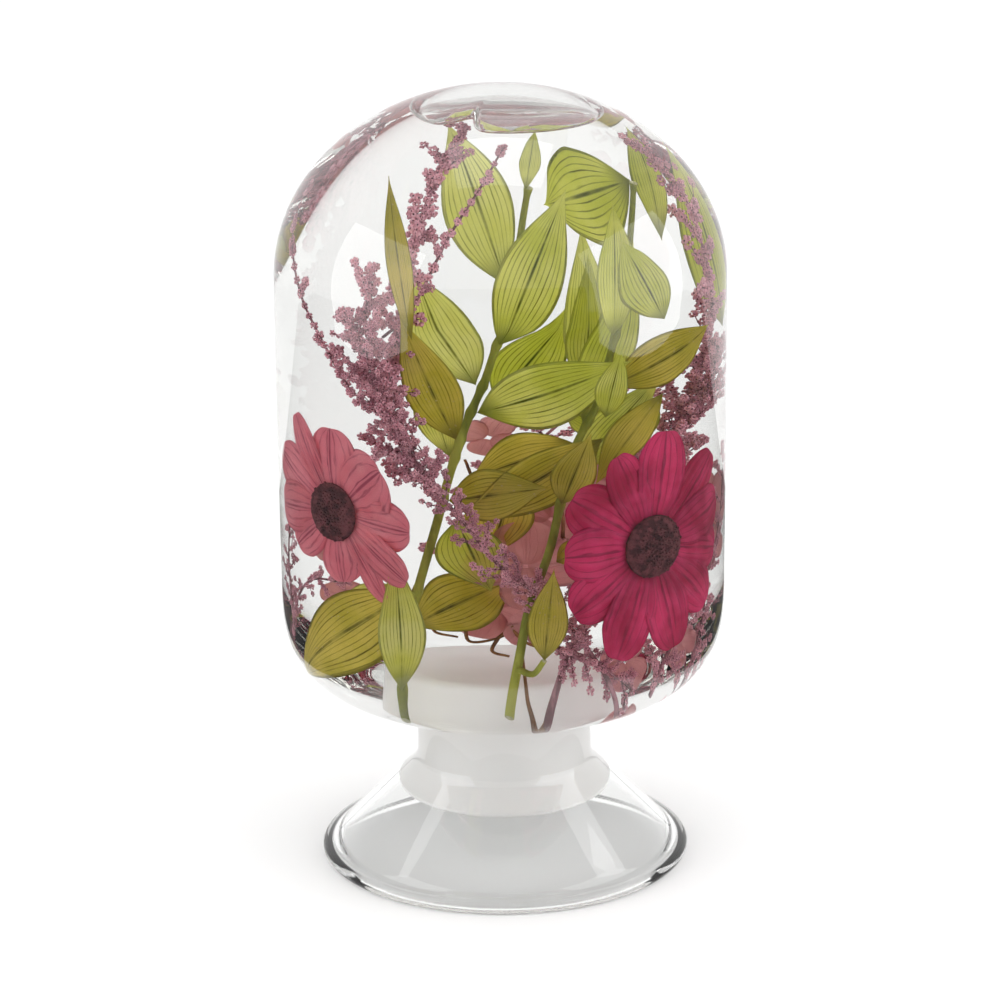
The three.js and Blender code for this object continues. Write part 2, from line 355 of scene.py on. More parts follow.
@dataclass(frozen=True)
class BudFinish(Finish):
    """Granular mauve buds, each with a dark dot of painted shade, as in a small pit, where the bead's stored
    pit-shade value is high.
    """

    name: str
    colour: Colour
    blush: Colour
    pit: Colour
    patch_scale: float = 260.0
    grain_scale: float = 2200.0
    roughness: float = 0.75
    glow: float = 0.3

    def build(self, nodes: Nodes, output: bpy.types.Node) -> None:
        """Two mauves in soft patches, and dark dots of painted pit shade.

        Args:
            nodes: where the shader's nodes go.
            output: the material's output node.
        """
        place = nodes.place()
        patch = nodes.noise(place, self.patch_scale, 3.0)
        colour = nodes.mix(nodes.smooth(patch, 0.38, 0.62), self.colour, self.blush)
        # painted shade: a dark dot at each bead's outer tip stands for the shade in a small pit
        depth = nodes.add("ShaderNodeAttribute", attribute_name="pit").outputs["Fac"]
        grain = nodes.noise(place, self.grain_scale, 2.0)
        edge = nodes.math("ADD", depth, nodes.math("MULTIPLY", nodes.math("SUBTRACT", grain, 0.5), 0.6))
        colour = nodes.mix(nodes.smooth(edge, 0.42, 0.7), colour, self.pit)
        surface = nodes.add("ShaderNodeBsdfPrincipled", {
            "Base Color": colour, "Roughness": self.roughness, "Specular IOR Level": 0.15,
        })
        through = nodes.add("ShaderNodeBsdfTranslucent", {"Color": colour})
        blend = nodes.add("ShaderNodeMixShader", {0: self.glow, 1: surface.outputs[0], 2: through.outputs[0]})
        nodes.tree.links.new(blend.outputs[0], output.inputs["Surface"])


@dataclass(frozen=True)
class StalkFinish(Finish):
    """A fibrous stem or twig, or a disc: two colours in fine patches, with a rough grain."""

    name: str
    colour: Colour
    dark: Colour
    patch_scale: float
    grain_scale: float
    balance: tuple[float, float] = (0.4, 0.6)
    stretch: float = 1.0  # below 1, patches run upwards
    roughness: float = 0.6
    glow: float = 0.0
    relief: float = 0.4

    def build(self, nodes: Nodes, output: bpy.types.Node) -> None:
        """Patches of two colours, with a bump of the same grain.

        Args:
            nodes: where the shader's nodes go.
            output: the material's output node.
        """
        place = nodes.place()
        scale = (1.0, 1.0, self.stretch)
        long = nodes.add("ShaderNodeVectorMath", {0: place, 1: scale}, operation="MULTIPLY")
        patch = nodes.noise(long.outputs[0], self.patch_scale, 4.0)
        grain = nodes.noise(long.outputs[0], self.grain_scale, 3.0)
        colour = nodes.mix(nodes.smooth(patch, *self.balance), self.dark, self.colour)
        colour = nodes.mix(nodes.math("MULTIPLY", nodes.smooth(grain, 0.5, 0.75), 0.5), colour, self.dark)
        bump = nodes.add("ShaderNodeBump", {"Height": grain, "Strength": self.relief, "Distance": 0.0003})
        shader = nodes.add("ShaderNodeBsdfPrincipled", {
            "Base Color": colour,
            "Roughness": self.roughness,
            "Specular IOR Level": 0.25,
            "Normal": bump.outputs[0],
        })
        surface = shader.outputs[0]
        if self.glow:
            through = nodes.add("ShaderNodeBsdfTranslucent", {"Color": colour})
            blend = nodes.add("ShaderNodeMixShader", {0: self.glow, 1: surface, 2: through.outputs[0]})
            surface = blend.outputs[0]
        nodes.tree.links.new(surface, output.inputs["Surface"])


@dataclass(frozen=True)
class TableFinishWithPaintedShade(Finish):
    """A pale matt table with painted shade: a deeper tone is painted near the vessel, where the lamps are
    strongest.
    """

    name: str
    near: Colour
    far: Colour
    start: float
    end: float

    def build(self, nodes: Nodes, output: bpy.types.Node) -> None:
        """The painted shade follows the distance from the middle of the table.

        Args:
            nodes: where the shader's nodes go.
            output: the material's output node.
        """
        away = nodes.add("ShaderNodeVectorMath", {0: nodes.place()}, operation="LENGTH").outputs["Value"]
        # painted shade: the near colour darkens the table round the vessel, and the far colour is its own
        # pale tone
        colour = nodes.mix(nodes.smooth(away, self.start, self.end), self.near, self.far)
        shader = nodes.add("ShaderNodeBsdfPrincipled", {
            "Base Color": colour, "Roughness": 0.8, "Specular IOR Level": 0.2,
        })
        nodes.tree.links.new(shader.outputs[0], output.inputs["Surface"])


GLASS = ClearFinish("clear_glass", 1.47, (0.985, 0.99, 0.985))
# painted shade: the grey tint on each wetted face dims all that is seen through the liquid
WETTED_GLASS_SHADE_TINT = ClearFinish("glass_against_liquid", 1.0, (0.84, 0.84, 0.83))
SEATED_GLASS = ClearFinish("glass_against_silicone", 1.0)
LIQUID = ClearFinish("liquid_against_glass", 1.0)
LIQUID_TO_AIR = ClearFinish("liquid_against_air", 1.47)
SILICONE = SiliconeFinish("white_silicone", (0.97, 0.965, 0.95), (0.94, 0.93, 0.91))
FRESH_LEAF = BladeFinish(
    "fresh_leaf", (0.93, 0.93, 0.36), (0.76, 0.79, 0.15), (0.12, 0.15, 0.006), 13.0, 1.0, 0.7, margin=0.4,
)
PALE_LEAF = BladeFinish(
    "pale_leaf", (0.96, 0.96, 0.5), (0.86, 0.87, 0.29), (0.17, 0.2, 0.015), 13.0, 0.9, 0.75, margin=0.35,
)
OLIVE_LEAF = BladeFinish(
    "olive_leaf", (0.86, 0.76, 0.21), (0.68, 0.62, 0.09), (0.15, 0.14, 0.01), 14.0, 0.95, 0.68, speckle=1.0,
)
CRIMSON_PETAL = BladeFinish(
    "crimson_petal", (0.9, 0.08, 0.29), (0.58, 0.016, 0.11), (0.16, 0.003, 0.03), 7.0, 0.6, 0.58,
    roughness=0.35, margin=0.15, base_shade=0.5,
)
ROSE_PETAL = BladeFinish(
    "rose_petal", (0.96, 0.47, 0.54), (0.88, 0.33, 0.41), (0.36, 0.06, 0.13), 6.0, 0.75, 0.65,
    roughness=0.4, margin=0.2, base_shade=0.45,
)
BRACT = BladeFinish(
    "hydrangea_bract", (0.92, 0.6, 0.6), (0.8, 0.45, 0.46), (0.55, 0.22, 0.25), 8.0, 0.35, 0.65, margin=0.3,
    base_shade=0.2,
)
STEM = StalkFinish("green_stem", (0.46, 0.47, 0.08), (0.24, 0.26, 0.03), 160.0, 700.0, stretch=0.2, glow=0.3)
CUT_END = StalkFinish("cut_stem_end", (0.62, 0.6, 0.38), (0.4, 0.4, 0.2), 900.0, 1500.0)
# the third colour is the painted shade of the pits
BUDS = BudFinish("mauve_buds", (0.74, 0.37, 0.45), (0.9, 0.52, 0.6), (0.07, 0.016, 0.024))
SPRIG_STALK = StalkFinish("mauve_stalk", (0.44, 0.22, 0.26), (0.16, 0.07, 0.08), 400.0, 1200.0, stretch=0.3)
DISC = StalkFinish("wine_disc", (0.16, 0.045, 0.055), (0.06, 0.012, 0.016), 500.0, 1500.0, roughness=0.7)
TWIG = StalkFinish("brown_twig", (0.34, 0.16, 0.06), (0.15, 0.065, 0.022), 300.0, 900.0, stretch=0.3)
DARK_CARD = StalkFinish("dark_card", (0.1, 0.1, 0.1), (0.09, 0.09, 0.09), 3.0, 20.0, roughness=0.9)
# pale table with painted shade: darker near the vessel, its own pale tone further out
FLOOR = TableFinishWithPaintedShade("pale_table", (0.8, 0.8, 0.8), (0.98, 0.98, 0.98), 0.25, 1.1)


# ---- Curves, profiles and meshes ----


def smooth_route(points: Sequence[Point], count: int) -> np.ndarray:
    """A smooth curve through given points.

    Args:
        points: the points, in millimetres.
        count: how many points the curve gets.

    Returns:
        The curve's points in metres, evenly spaced along each stretch.
    """
    knots = np.array(points, float) * MM
    ends = np.vstack([2 * knots[0] - knots[1], knots, 2 * knots[-1] - knots[-2]])
    steps = np.sqrt(np.linalg.norm(np.diff(ends, axis=0), axis=1))
    times = np.concatenate([[0.0], np.cumsum(steps)])
    place = np.linspace(0, len(knots) - 1, count)
    result = []
    for value in place:
        k = min(int(value), len(knots) - 2)
        t0, t1, t2, t3 = times[k : k + 4]
        p0, p1, p2, p3 = ends[k : k + 4]
        t = t1 + (value - k) * (t2 - t1)
        a1 = ((t1 - t) * p0 + (t - t0) * p1) / (t1 - t0)
        a2 = ((t2 - t) * p1 + (t - t1) * p2) / (t2 - t1)
        a3 = ((t3 - t) * p2 + (t - t2) * p3) / (t3 - t2)
        b1 = ((t2 - t) * a1 + (t - t0) * a2) / (t2 - t0)
        b2 = ((t3 - t) * a2 + (t - t1) * a3) / (t3 - t1)
        result.append(((t2 - t) * b1 + (t - t1) * b2) / (t2 - t1))
    return np.array(result)


def unit(vector: np.ndarray) -> np.ndarray:
    """The vector, or each row of vectors, at length one."""
    return vector / np.maximum(np.linalg.norm(vector, axis=-1, keepdims=True), 1e-12)


def square_to(vector: np.ndarray, axis: np.ndarray) -> np.ndarray:
    """The part of a vector that is square to a unit axis, at length one."""
    return unit(vector - axis * np.sum(vector * axis, axis=-1, keepdims=True))


class MeshMaker:
    """Gathers vertices, faces, UVs and materials, and makes one finished object of them."""

    def __init__(self) -> None:
        """Starts empty."""
        self.vertices: list[np.ndarray] = []
        self.faces: list[tuple[int, ...]] = []
        self.uvs: list[tuple[tuple[float, float], ...]] = []
        self.slots: list[int] = []
        self.count = 0

    def put(self, points: np.ndarray) -> int:
        """Adds vertices.

        Args:
            points: their places, one in each row, in metres.

        Returns:
            The number of the first.
        """
        first = self.count
        self.vertices.append(np.asarray(points, float).reshape(-1, 3))
        self.count += len(self.vertices[-1])
        return first

    def face(
        self, corners: Sequence[int], uv: Optional[Sequence[tuple[float, float]]] = None, slot: int = 0,
    ) -> None:
        """Adds a face, with the UV of each corner and its material's number.

        Args:
            corners: the numbers of its vertices, in turn.
            uv: the UV of each corner.
            slot: the number of its material.
        """
        self.faces.append(tuple(corners))
        self.uvs.append(tuple(uv) if uv is not None else ((0.0, 0.0),) * len(corners))
        self.slots.append(slot)

    def make(self, name: str, finishes: Sequence[Finish]) -> bpy.types.Object:
        """Makes the object, smooth-shaded, at the origin.

        Args:
            name: the piece's name.
            finishes: a finish for each material number.

        Returns:
            The object, linked to the scene.
        """
        mesh = bpy.data.meshes.new(name)
        mesh.from_pydata(np.vstack(self.vertices).tolist(), [], self.faces)
        layer = mesh.uv_layers.new(name="UVMap")
        layer.data.foreach_set("uv", [value for uv in self.uvs for pair in uv for value in pair])
        mesh.polygons.foreach_set("material_index", self.slots)
        mesh.polygons.foreach_set("use_smooth", [True] * len(self.faces))
        for finish in finishes:
            mesh.materials.append(finish.material())
        mesh.validate()
        mesh.update()
        piece = bpy.data.objects.new(name, mesh)
        bpy.context.scene.collection.objects.link(piece)
        return piece

    def turn(
        self,
        profile: Profile,
        segments: int,
        slot_of: Callable[[float, float], int] = lambda radius, height: 0,
    ) -> None:
        """Adds a solid of revolution about Z, facing out when the profile climbs the outside.

        Args:
            profile: radius and height pairs in metres, from axis to axis.
            segments: how many steps round.
            slot_of: gives the material number at a radius and a height.
        """
        angles = np.arange(segments) * 2 * math.pi / segments
        rings: list[tuple[int, bool]] = []
        for radius, height in profile:
            if radius < 1e-7:
                rings.append((self.put(np.array([[0.0, 0.0, height]])), True))
            else:
                across, deep = radius * np.cos(angles), radius * np.sin(angles)
                ring = np.stack([across, deep, np.full(segments, height)], 1)
                rings.append((self.put(ring), False))
        for (low, low_point), (high, high_point), start, end in zip(rings, rings[1:], profile, profile[1:]):
            slot = slot_of((start[0] + end[0]) / 2, (start[1] + end[1]) / 2)
            for i in range(segments):
                j = (i + 1) % segments
                if low_point:
                    self.face((low, high + j, high + i), slot=slot)
                elif high_point:
                    self.face((low + i, low + j, high), slot=slot)
                else:
                    self.face((low + i, low + j, high + j, high + i), slot=slot)


def settle(piece: bpy.types.Object, slot: Slot, nodes: Sequence[str]) -> bpy.types.Object:
    """Ties a finished piece to the frame and reports it.

    Args:
        piece: the finished object.
        slot: its material slot.
        nodes: the frame's nodes that the piece stands for.

    Returns:
        The piece.
    """
    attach(piece, BODY)
    if nodes:
        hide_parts(*nodes)
    faces, stands_for = len(piece.data.polygons), ", ".join(nodes) or "-"
    LOG.info("%s: %d faces, slot %s, for %s", piece.name, faces, slot.value, stands_for)
    return piece


# ---- Vessel, liquid and stopper ----


@dataclass(frozen=True)
class VesselShape:
    """The sizes of the glass, in millimetres, shared by the glass, the liquid and the plants inside."""

    crown_z: float = 195.0
    spring_z: float = 149.0
    shoulder_z: float = 75.5
    bottom_z: float = 40.8
    radius: float = 55.0
    bottom_exponent: float = 3.5
    wall: float = 3.0
    neck_radius: float = 21.7
    bore_radius: float = 19.5
    neck_fillet: float = 2.4
    cone_top_z: float = 25.0
    cone_wall: float = 3.7
    foot_radius: float = 46.0
    rim_inner_radius: float = 42.3

    def body_face(
        self, inset: float, end_radius: float, dome_steps: int = 44, bottom_steps: int = 36,
    ) -> Profile:
        """One face of the body's wall, from the crown down to the neck.

        Args:
            inset: how far inside the outer face it lies.
            end_radius: where it stops at the bottom.
            dome_steps: points on the dome.
            bottom_steps: points on the rounded bottom.

        Returns:
            Radius and height pairs.
        """
        radius = self.radius - inset
        dome = self.crown_z - inset - self.spring_z
        bottom = self.shoulder_z - self.bottom_z - inset
        n = self.bottom_exponent
        points = []
        for i in range(dome_steps + 1):
            turn = i / dome_steps * math.pi / 2
            points.append((radius * math.sin(turn), self.spring_z + dome * math.cos(turn)))
        straight = 6
        for i in range(1, straight):
            points.append((radius, self.spring_z + (self.shoulder_z - self.spring_z) * i / straight))
        across = end_radius / radius
        down = (1 - across**n) ** (1 / n)
        last = math.atan2(down, across)
        for i in range(bottom_steps + 1):
            turn = i / bottom_steps * last
            c, s = math.cos(turn), math.sin(turn)
            reach = (c**n + s**n) ** (-1 / n)
            points.append((radius * c * reach, self.shoulder_z - bottom * s * reach))
        return points

    def inner_radius(self, z: np.ndarray) -> np.ndarray:
        """The radius of the inner face at heights in millimetres.

        Args:
            z: the heights, in millimetres.

        Returns:
            The radius at each, in millimetres.
        """
        radius = self.radius - self.wall
        rise = np.clip((z - self.spring_z) / (self.crown_z - self.wall - self.spring_z), 0, 0.999)
        drop = np.clip((self.shoulder_z - z) / (self.shoulder_z - self.bottom_z - self.wall), 0, 0.999)
        n = self.bottom_exponent
        return radius * np.minimum(np.sqrt(1 - rise**2), (1 - drop**n) ** (1 / n))

    def keep_inside(self, points: np.ndarray, clearance: float) -> np.ndarray:
        """Draws points back to the inside of the glass, where a leaf or petal presses on it.

        Args:
            points: places in metres, in the last axis.
            clearance: the least distance to the glass, in millimetres.

        Returns:
            The places, drawn in where they have to be.
        """
        limit = (self.inner_radius(points[..., 2] / MM) - clearance) * MM
        reach = np.hypot(points[..., 0], points[..., 1])
        scale = np.where(reach > limit, limit / np.maximum(reach, 1e-9), 1.0)
        result = points.copy()
        result[..., 0] *= scale
        result[..., 1] *= scale
        return result


SHAPE = VesselShape()


def arc(centre: tuple[float, float], radius: float, start: float, end: float, steps: int) -> Profile:
    """Points on an arc of a profile.

    Args:
        centre: radius and height of the arc's centre.
        radius: the arc's own radius.
        start: first angle in degrees, from the outward direction.
        end: last angle in degrees.
        steps: how many steps between them.

    Returns:
        Radius and height pairs.
    """
    angles = np.radians(np.linspace(start, end, steps + 1))
    return [(centre[0] + radius * math.cos(a), centre[1] + radius * math.sin(a)) for a in angles]


@dataclass
class Vessel:
    """The glass: dome, body, neck, foot and rim in one blown piece, open through the neck."""

    shape: VesselShape = SHAPE
    segments: int = 160
    rim_radius: float = 1.6
    seat_z: float = 18.0
    seat_margin: float = 1.0  # how far outside the bore a face may lie and still touch the stopper

    def profile(self) -> Profile:
        """The glass's section, from the inside of the crown round the rim to its outside, in millimetres.

        Returns:
            Radius and height pairs, in millimetres.
        """
        s = self.shape
        outer_line = s.neck_radius + s.cone_top_z
        inner_line = outer_line - s.cone_wall
        floor = s.bottom_z + s.wall
        fillet = s.neck_fillet
        inside = [
            *s.body_face(s.wall, s.bore_radius + fillet),
            *arc((s.bore_radius + fillet, floor - fillet), fillet, 90, 180, 6)[1:],
            # the stopper's bore and its seat in the cone
            (s.bore_radius, inner_line - s.bore_radius + 0.5),
            (s.bore_radius + 0.3, inner_line - s.bore_radius - 0.3),
            (inner_line - self.seat_z, self.seat_z),
            # the cone's inner face, which flares out over the rim
            (inner_line - 6.0, 6.0),
            (inner_line - 4.3, 4.3),
            (inner_line - 3.1, 3.2),
            (inner_line - 2.2, 2.0),
            (inner_line - 1.6, 0.9),
            (s.rim_inner_radius, 0.2),
            (s.rim_inner_radius + 0.5, 0.0),
        ]
        rim = arc((s.foot_radius - self.rim_radius, self.rim_radius), self.rim_radius, -90, 90, 14)
        outside = [
            *rim,
            # the cone's outer face and the neck above it
            (outer_line - 3.9, 3.9),
            (outer_line - 5.2, 5.2),
            (s.neck_radius + 1.6, s.cone_top_z - 1.6),
            (s.neck_radius + 0.5, s.cone_top_z - 0.1),
            (s.neck_radius, s.cone_top_z + 1.4),
            *arc((s.neck_radius + fillet, s.bottom_z - fillet - 0.5), fillet, 180, 100, 6),
        ]
        return [*inside, *outside, *reversed(s.body_face(0, s.neck_radius + fillet + 0.8))]

    def build(self) -> bpy.types.Object:
        """Makes the glass, wetted where the liquid meets it.

        Returns:
            The glass.
        """
        s = self.shape
        wet_floor = (s.bottom_z + s.wall * 0.5) * MM

        def contact(radius: float, height: float) -> int:
            """Says what a face of the glass touches.

            Args:
                radius: the radius of the face's middle, in metres.
                height: its height, in metres.

            Returns:
                Its material number: 0 in air, 1 against the liquid, 2 against the stopper.
            """
            r, z = radius / MM, height / MM
            if height > wet_floor:
                inner = float(s.inner_radius(np.array(z))) + s.wall * 0.5
                return int(r < inner and z < s.crown_z - s.wall * 0.5)
            middle = max(s.bore_radius, s.neck_radius + s.cone_top_z - s.cone_wall - z) + self.seat_margin
            return 2 if z > self.seat_z and r < middle else 0

        maker = MeshMaker()
        section = [(radius * MM, height * MM) for radius, height in self.profile()]
        maker.turn(section, self.segments, contact)
        piece = maker.make("clear_vessel", (GLASS, WETTED_GLASS_SHADE_TINT, SEATED_GLASS))
        return settle(piece, Slot.GLASS, ["glass_vessel"])


@dataclass
class Bubble:
    """The air left under the crown, a flat bubble with a rounded rim and a notch where a sprig touches it."""

    radius: float = 21.7
    offset: float = 1.6
    level: float = 184.9
    film: float = 0.15
    notch_angle: float = 238.0
    notch_width: float = 10.0
    notch_depth: float = 0.3
    waver: tuple[float, float] = (0.02, 0.012)  # how far its outline strays, two and three times round
    fullness: int = 12  # how square its rounded rim is
    segments: int = 144
    rings: int = 26

    def reach(self, angle: float) -> float:
        """The bubble's radius in a direction, in millimetres.

        Args:
            angle: the direction, in radians.

        Returns:
            The radius, in millimetres.
        """
        off = math.degrees(math.remainder(angle - math.radians(self.notch_angle), 2 * math.pi))
        notch = self.notch_depth * math.exp(-((off / self.notch_width) ** 2))
        wave = self.waver[0] * math.cos(2 * angle + 0.6) + self.waver[1] * math.cos(3 * angle)
        return self.radius * (1 - notch + wave)

    def add_to(self, maker: MeshMaker, shape: VesselShape, slot: int) -> None:
        """Adds the bubble's skin, facing the air.

        Args:
            maker: the liquid's mesh.
            shape: the glass above it.
            slot: the material number of liquid against air.
        """
        dome = shape.crown_z - shape.wall - shape.spring_z
        inner = shape.radius - shape.wall

        def ceiling(radius: float) -> float:
            """The height of the air's top at a radius, in millimetres."""
            return shape.spring_z + dome * math.sqrt(1 - (radius / inner) ** 2) - self.film

        steps = np.concatenate([np.linspace(0.0, 0.9, self.rings), np.linspace(0.92, 1.0, 8)])
        angles = np.arange(self.segments) * 2 * math.pi / self.segments
        rows: list[int] = []
        for side in (1, -1):
            for share in steps if side > 0 else steps[-2::-1]:
                if share == 0.0:
                    height = ceiling(self.offset) if side > 0 else self.level
                    rows.append(maker.put(np.array([[self.offset, 0.0, height]]) * MM))
                    continue
                ring = []
                for angle in angles:
                    reach = self.reach(angle)
                    radius = reach * share
                    x, y = self.offset + radius * math.cos(angle), radius * math.sin(angle)
                    top = ceiling(math.hypot(x, y))
                    edge = ceiling(math.hypot(self.offset + reach * math.cos(angle), reach * math.sin(angle)))
                    middle = (max(edge, self.level + 0.3) + self.level) / 2
                    bend = math.sqrt(max(0.0, 1 - share**self.fullness))
                    ring.append((x, y, middle + (top - middle if side > 0 else self.level - middle) * bend))
                rows.append(maker.put(np.array(ring) * MM))
        n = self.segments
        last = len(rows) - 1
        for k in range(last):
            low, high = rows[k], rows[k + 1]
            for i in range(n):
                j = (i + 1) % n
                if k == 0:
                    maker.face((low, high + j, high + i), slot=slot)
                elif k + 1 == last:
                    maker.face((low + i, low + j, high), slot=slot)
                else:
                    maker.face((low + i, low + j, high + j, high + i), slot=slot)


@dataclass
class Liquid:
    """The clear filling: it meets the glass and the stopper, and holds the bubble."""

    shape: VesselShape = SHAPE
    bubble: Bubble = field(default_factory=Bubble)
    gap: float = 0.05
    shaft_inset: float = 0.2
    edge: float = 1.3
    segments: int = 96

    def build(self) -> bpy.types.Object:
        """Makes the liquid with its bubble as an inner face.

        Returns:
            The liquid.
        """
        s = self.shape
        floor = s.bottom_z + s.wall + self.gap
        shaft = s.bore_radius - self.shaft_inset
        top = STOPPER_TOP + self.gap
        wall = s.body_face(s.wall + self.gap, s.bore_radius + s.neck_fillet, 30, 20)
        profile = [
            (0.0, top), (shaft - self.edge, top), (shaft, top - self.edge), (shaft, floor), *reversed(wall),
        ]
        maker = MeshMaker()
        maker.turn([(r * MM, z * MM) for r, z in profile], self.segments)
        self.bubble.add_to(maker, s, 1)
        piece = maker.make("clear_liquid", (LIQUID, LIQUID_TO_AIR))
        return settle(piece, Slot.LIQUID, [])


STOPPER_TOP = 56.0


@dataclass
class Stopper:
    """The white plug: a shaft in the neck, and a head that seats in the foot's cone."""

    shape: VesselShape = SHAPE
    top_z: float = STOPPER_TOP
    bottom_z: float = 16.9
    head_radius: float = 25.2
    gap: float = 0.05
    edge: float = 1.2
    dimple_radius: float = 11.0
    dimple_depth: float = 1.2
    segments: int = 128

    def build(self) -> bpy.types.Object:
        """Makes the plug with softened edges and a shallow dimple beneath.

        Returns:
            The stopper.
        """
        s = self.shape
        shaft = s.bore_radius - self.gap
        line = s.neck_radius + s.cone_top_z - s.cone_wall - self.gap * math.sqrt(2)
        seat_z = line - self.head_radius
        profile = [
            (0.0, self.bottom_z + self.dimple_depth),
            (self.dimple_radius - 1.5, self.bottom_z + self.dimple_depth),
            (self.dimple_radius, self.bottom_z + 0.3),
            (self.dimple_radius + 0.6, self.bottom_z),
            *arc((self.head_radius - 0.6, self.bottom_z + 0.6), 0.6, -90, 30, 6),
            (self.head_radius - 0.2, seat_z + 0.1),
            (shaft + 0.4, line - shaft - 0.4),
            (shaft, line - shaft + 0.3),
            (shaft, (self.top_z + line - shaft) / 2),
            *arc((shaft - self.edge, self.top_z - self.edge), self.edge, 0, 90, 8),
            (shaft * 0.5, self.top_z),
            (0.0, self.top_z),
        ]
        maker = MeshMaker()
        maker.turn([(r * MM, z * MM) for r, z in profile], self.segments)
        piece = maker.make("white_stopper", (SILICONE,))
        return settle(piece, Slot.SILICONE, ["stopper"])


# ---- Leaves and petals ----


@dataclass(frozen=True)
class Outline:
    """How a blade's width changes along it: widest at a share of its length, and how pointed its ends are."""

    widest: float
    taper: float
    notch: float = 0.0

    def spread(self, t: np.ndarray) -> np.ndarray:
        """The width at shares of the length, beside the greatest."""
        rise, fall = self.widest * self.taper, (1 - self.widest) * self.taper
        return (t / self.widest) ** rise * ((1 - t) / (1 - self.widest)) ** fall


LEAF_OUTLINE = Outline(0.44, 2.7)
PETAL_OUTLINE = Outline(0.6, 0.95, notch=0.04)
BRACT_OUTLINE = Outline(0.58, 0.9, notch=0.02)


@dataclass
class Blade:
    """A thin leaf, petal or bract, from base to tip. Lengths are in metres."""

    base: np.ndarray
    tip: np.ndarray
    width: float
    facing: np.ndarray
    bow: float
    cup: float
    outline: Outline
    thickness: float = 0.25 * MM
    fold: float = 0.0
    ripple: float = 0.0
    ripples: float = 2.5
    ridges: int = 0
    ridge_height: float = 0.0
    twist: float = 0.0
    phase: float = 0.0
    second_ripple: float = 0.5
    second_ripples: float = 1.7
    clearance: float = 1.0
    rows: int = 30
    columns: int = 12

    def surface(self) -> tuple[np.ndarray, np.ndarray, np.ndarray]:
        """The middle surface of the blade.

        Returns:
            Its grid of points, the share of the length of each row, and the place across of each column.
        """
        along = unit(self.tip - self.base)
        face = square_to(self.facing, along)
        middle = (self.base + self.tip) / 2 + face * 2 * self.bow
        turn = np.linspace(0, math.pi, self.rows + 1)
        t = (1 - np.cos(turn)) / 2
        s = np.linspace(-1, 1, self.columns + 1)
        spine = (
            np.outer((1 - t) ** 2, self.base) + np.outer(2 * t * (1 - t), middle) + np.outer(t**2, self.tip)
        )
        tangent = unit(np.outer(2 * (1 - t), middle - self.base) + np.outer(2 * t, self.tip - middle))
        normal = square_to(np.broadcast_to(face, tangent.shape), tangent)
        angle = self.twist * (t - 0.5)
        side = np.cross(normal, tangent)
        side = side * np.cos(angle)[:, None] + normal * np.sin(angle)[:, None]
        normal = np.cross(tangent, side)
        half = self.width / 2 * self.outline.spread(t)
        spine = SHAPE.keep_inside(spine, self.clearance + 0.2)
        lift = half[:, None] * (self.cup * s[None, :] ** 2 + self.fold * np.abs(s)[None, :])
        wave = np.sin(2 * math.pi * self.ripples * t + self.phase)[:, None] * s[None, :] ** 2
        finer = 2 * math.pi * self.ripples * self.second_ripples * t + self.phase * 2
        wave = wave + self.second_ripple * np.sin(finer)[:, None] * s[None, :] ** 3
        lift = lift + self.ripple * wave * np.sin(math.pi * t)[:, None]
        if self.ridges:
            ridge = self.ridge_height * np.cos(math.pi * self.ridges * s)[None, :]
            lift = lift + ridge * np.sin(math.pi * t)[:, None]
        ahead = self.outline.notch * np.linalg.norm(self.tip - self.base) * np.cos(2.5 * math.pi * s)[None, :]
        ahead = ahead * (t**6 * (1 - t**30))[:, None]
        grid = (
            spine[:, None, :]
            + side[:, None, :] * (half[:, None] * s[None, :])[..., None]
            + normal[:, None, :] * lift[..., None]
            + tangent[:, None, :] * ahead[..., None]
        )
        return SHAPE.keep_inside(grid, self.clearance), t, s

    def add_to(self, maker: MeshMaker, slot: int = 0) -> None:
        """Adds the blade as a closed thin shell with sharp edges.

        Args:
            maker: the mesh to add it to.
            slot: its material number.
        """
        grid, t, s = self.surface()
        along = np.gradient(grid, axis=0)
        across = np.gradient(grid, axis=1)
        normal = unit(np.cross(along, across))
        body = np.sqrt(np.clip(1 - s**2, 0, 1))[None, :] * np.ones_like(t)[:, None]
        offset = normal * (self.thickness / 2 * body)[..., None]
        rows, columns = self.rows, self.columns
        base = maker.put(grid[0, columns // 2])
        tip = maker.put(grid[-1, columns // 2])
        rim = maker.put(grid[1:-1, [0, -1]].reshape(-1, 3))
        sheets = [maker.put((grid + sign * offset)[1:-1, 1:-1].reshape(-1, 3)) for sign in (1, -1)]

        def corner(sheet: int, row: int, column: int) -> int:
            """Finds a vertex of the shell.

            Args:
                sheet: 0 for the front sheet, 1 for the back.
                row: the place along the blade.
                column: the place across it.

            Returns:
                The vertex's number.
            """
            if row == 0:
                return base
            if row == rows:
                return tip
            if column in (0, columns):
                return rim + 2 * (row - 1) + (column > 0)
            return sheets[sheet] + (row - 1) * (columns - 1) + column - 1

        for sheet in (0, 1):
            for i in range(rows):
                for j in range(columns):
                    cells = [(i, j), (i + 1, j), (i + 1, j + 1), (i, j + 1)]
                    if sheet == 1:
                        cells.reverse()
                    corners, uv = [], []
                    for row, column in cells:
                        number = corner(sheet, row, column)
                        if number not in corners:
                            corners.append(number)
                            uv.append(((s[column] + 1) / 2, t[row]))
                    if len(corners) > 2:
                        maker.face(corners, uv, slot)


@dataclass(frozen=True)
class LeafPlan:
    """Where one leaf is, in millimetres. It leaves its stem at a height, or starts at a point of its own."""

    start: Union[float, Point]
    tip: Point
    width: float
    roll: float = 0.0
    bow: float = 0.0
    cup: float = 0.15
    finish: BladeFinish = FRESH_LEAF
    fold: float = 0.12

    def slot(self) -> Slot:
        """The material slot that goes with the finish."""
        return Slot.OLIVE_LEAF if self.finish is OLIVE_LEAF else Slot.LEAF


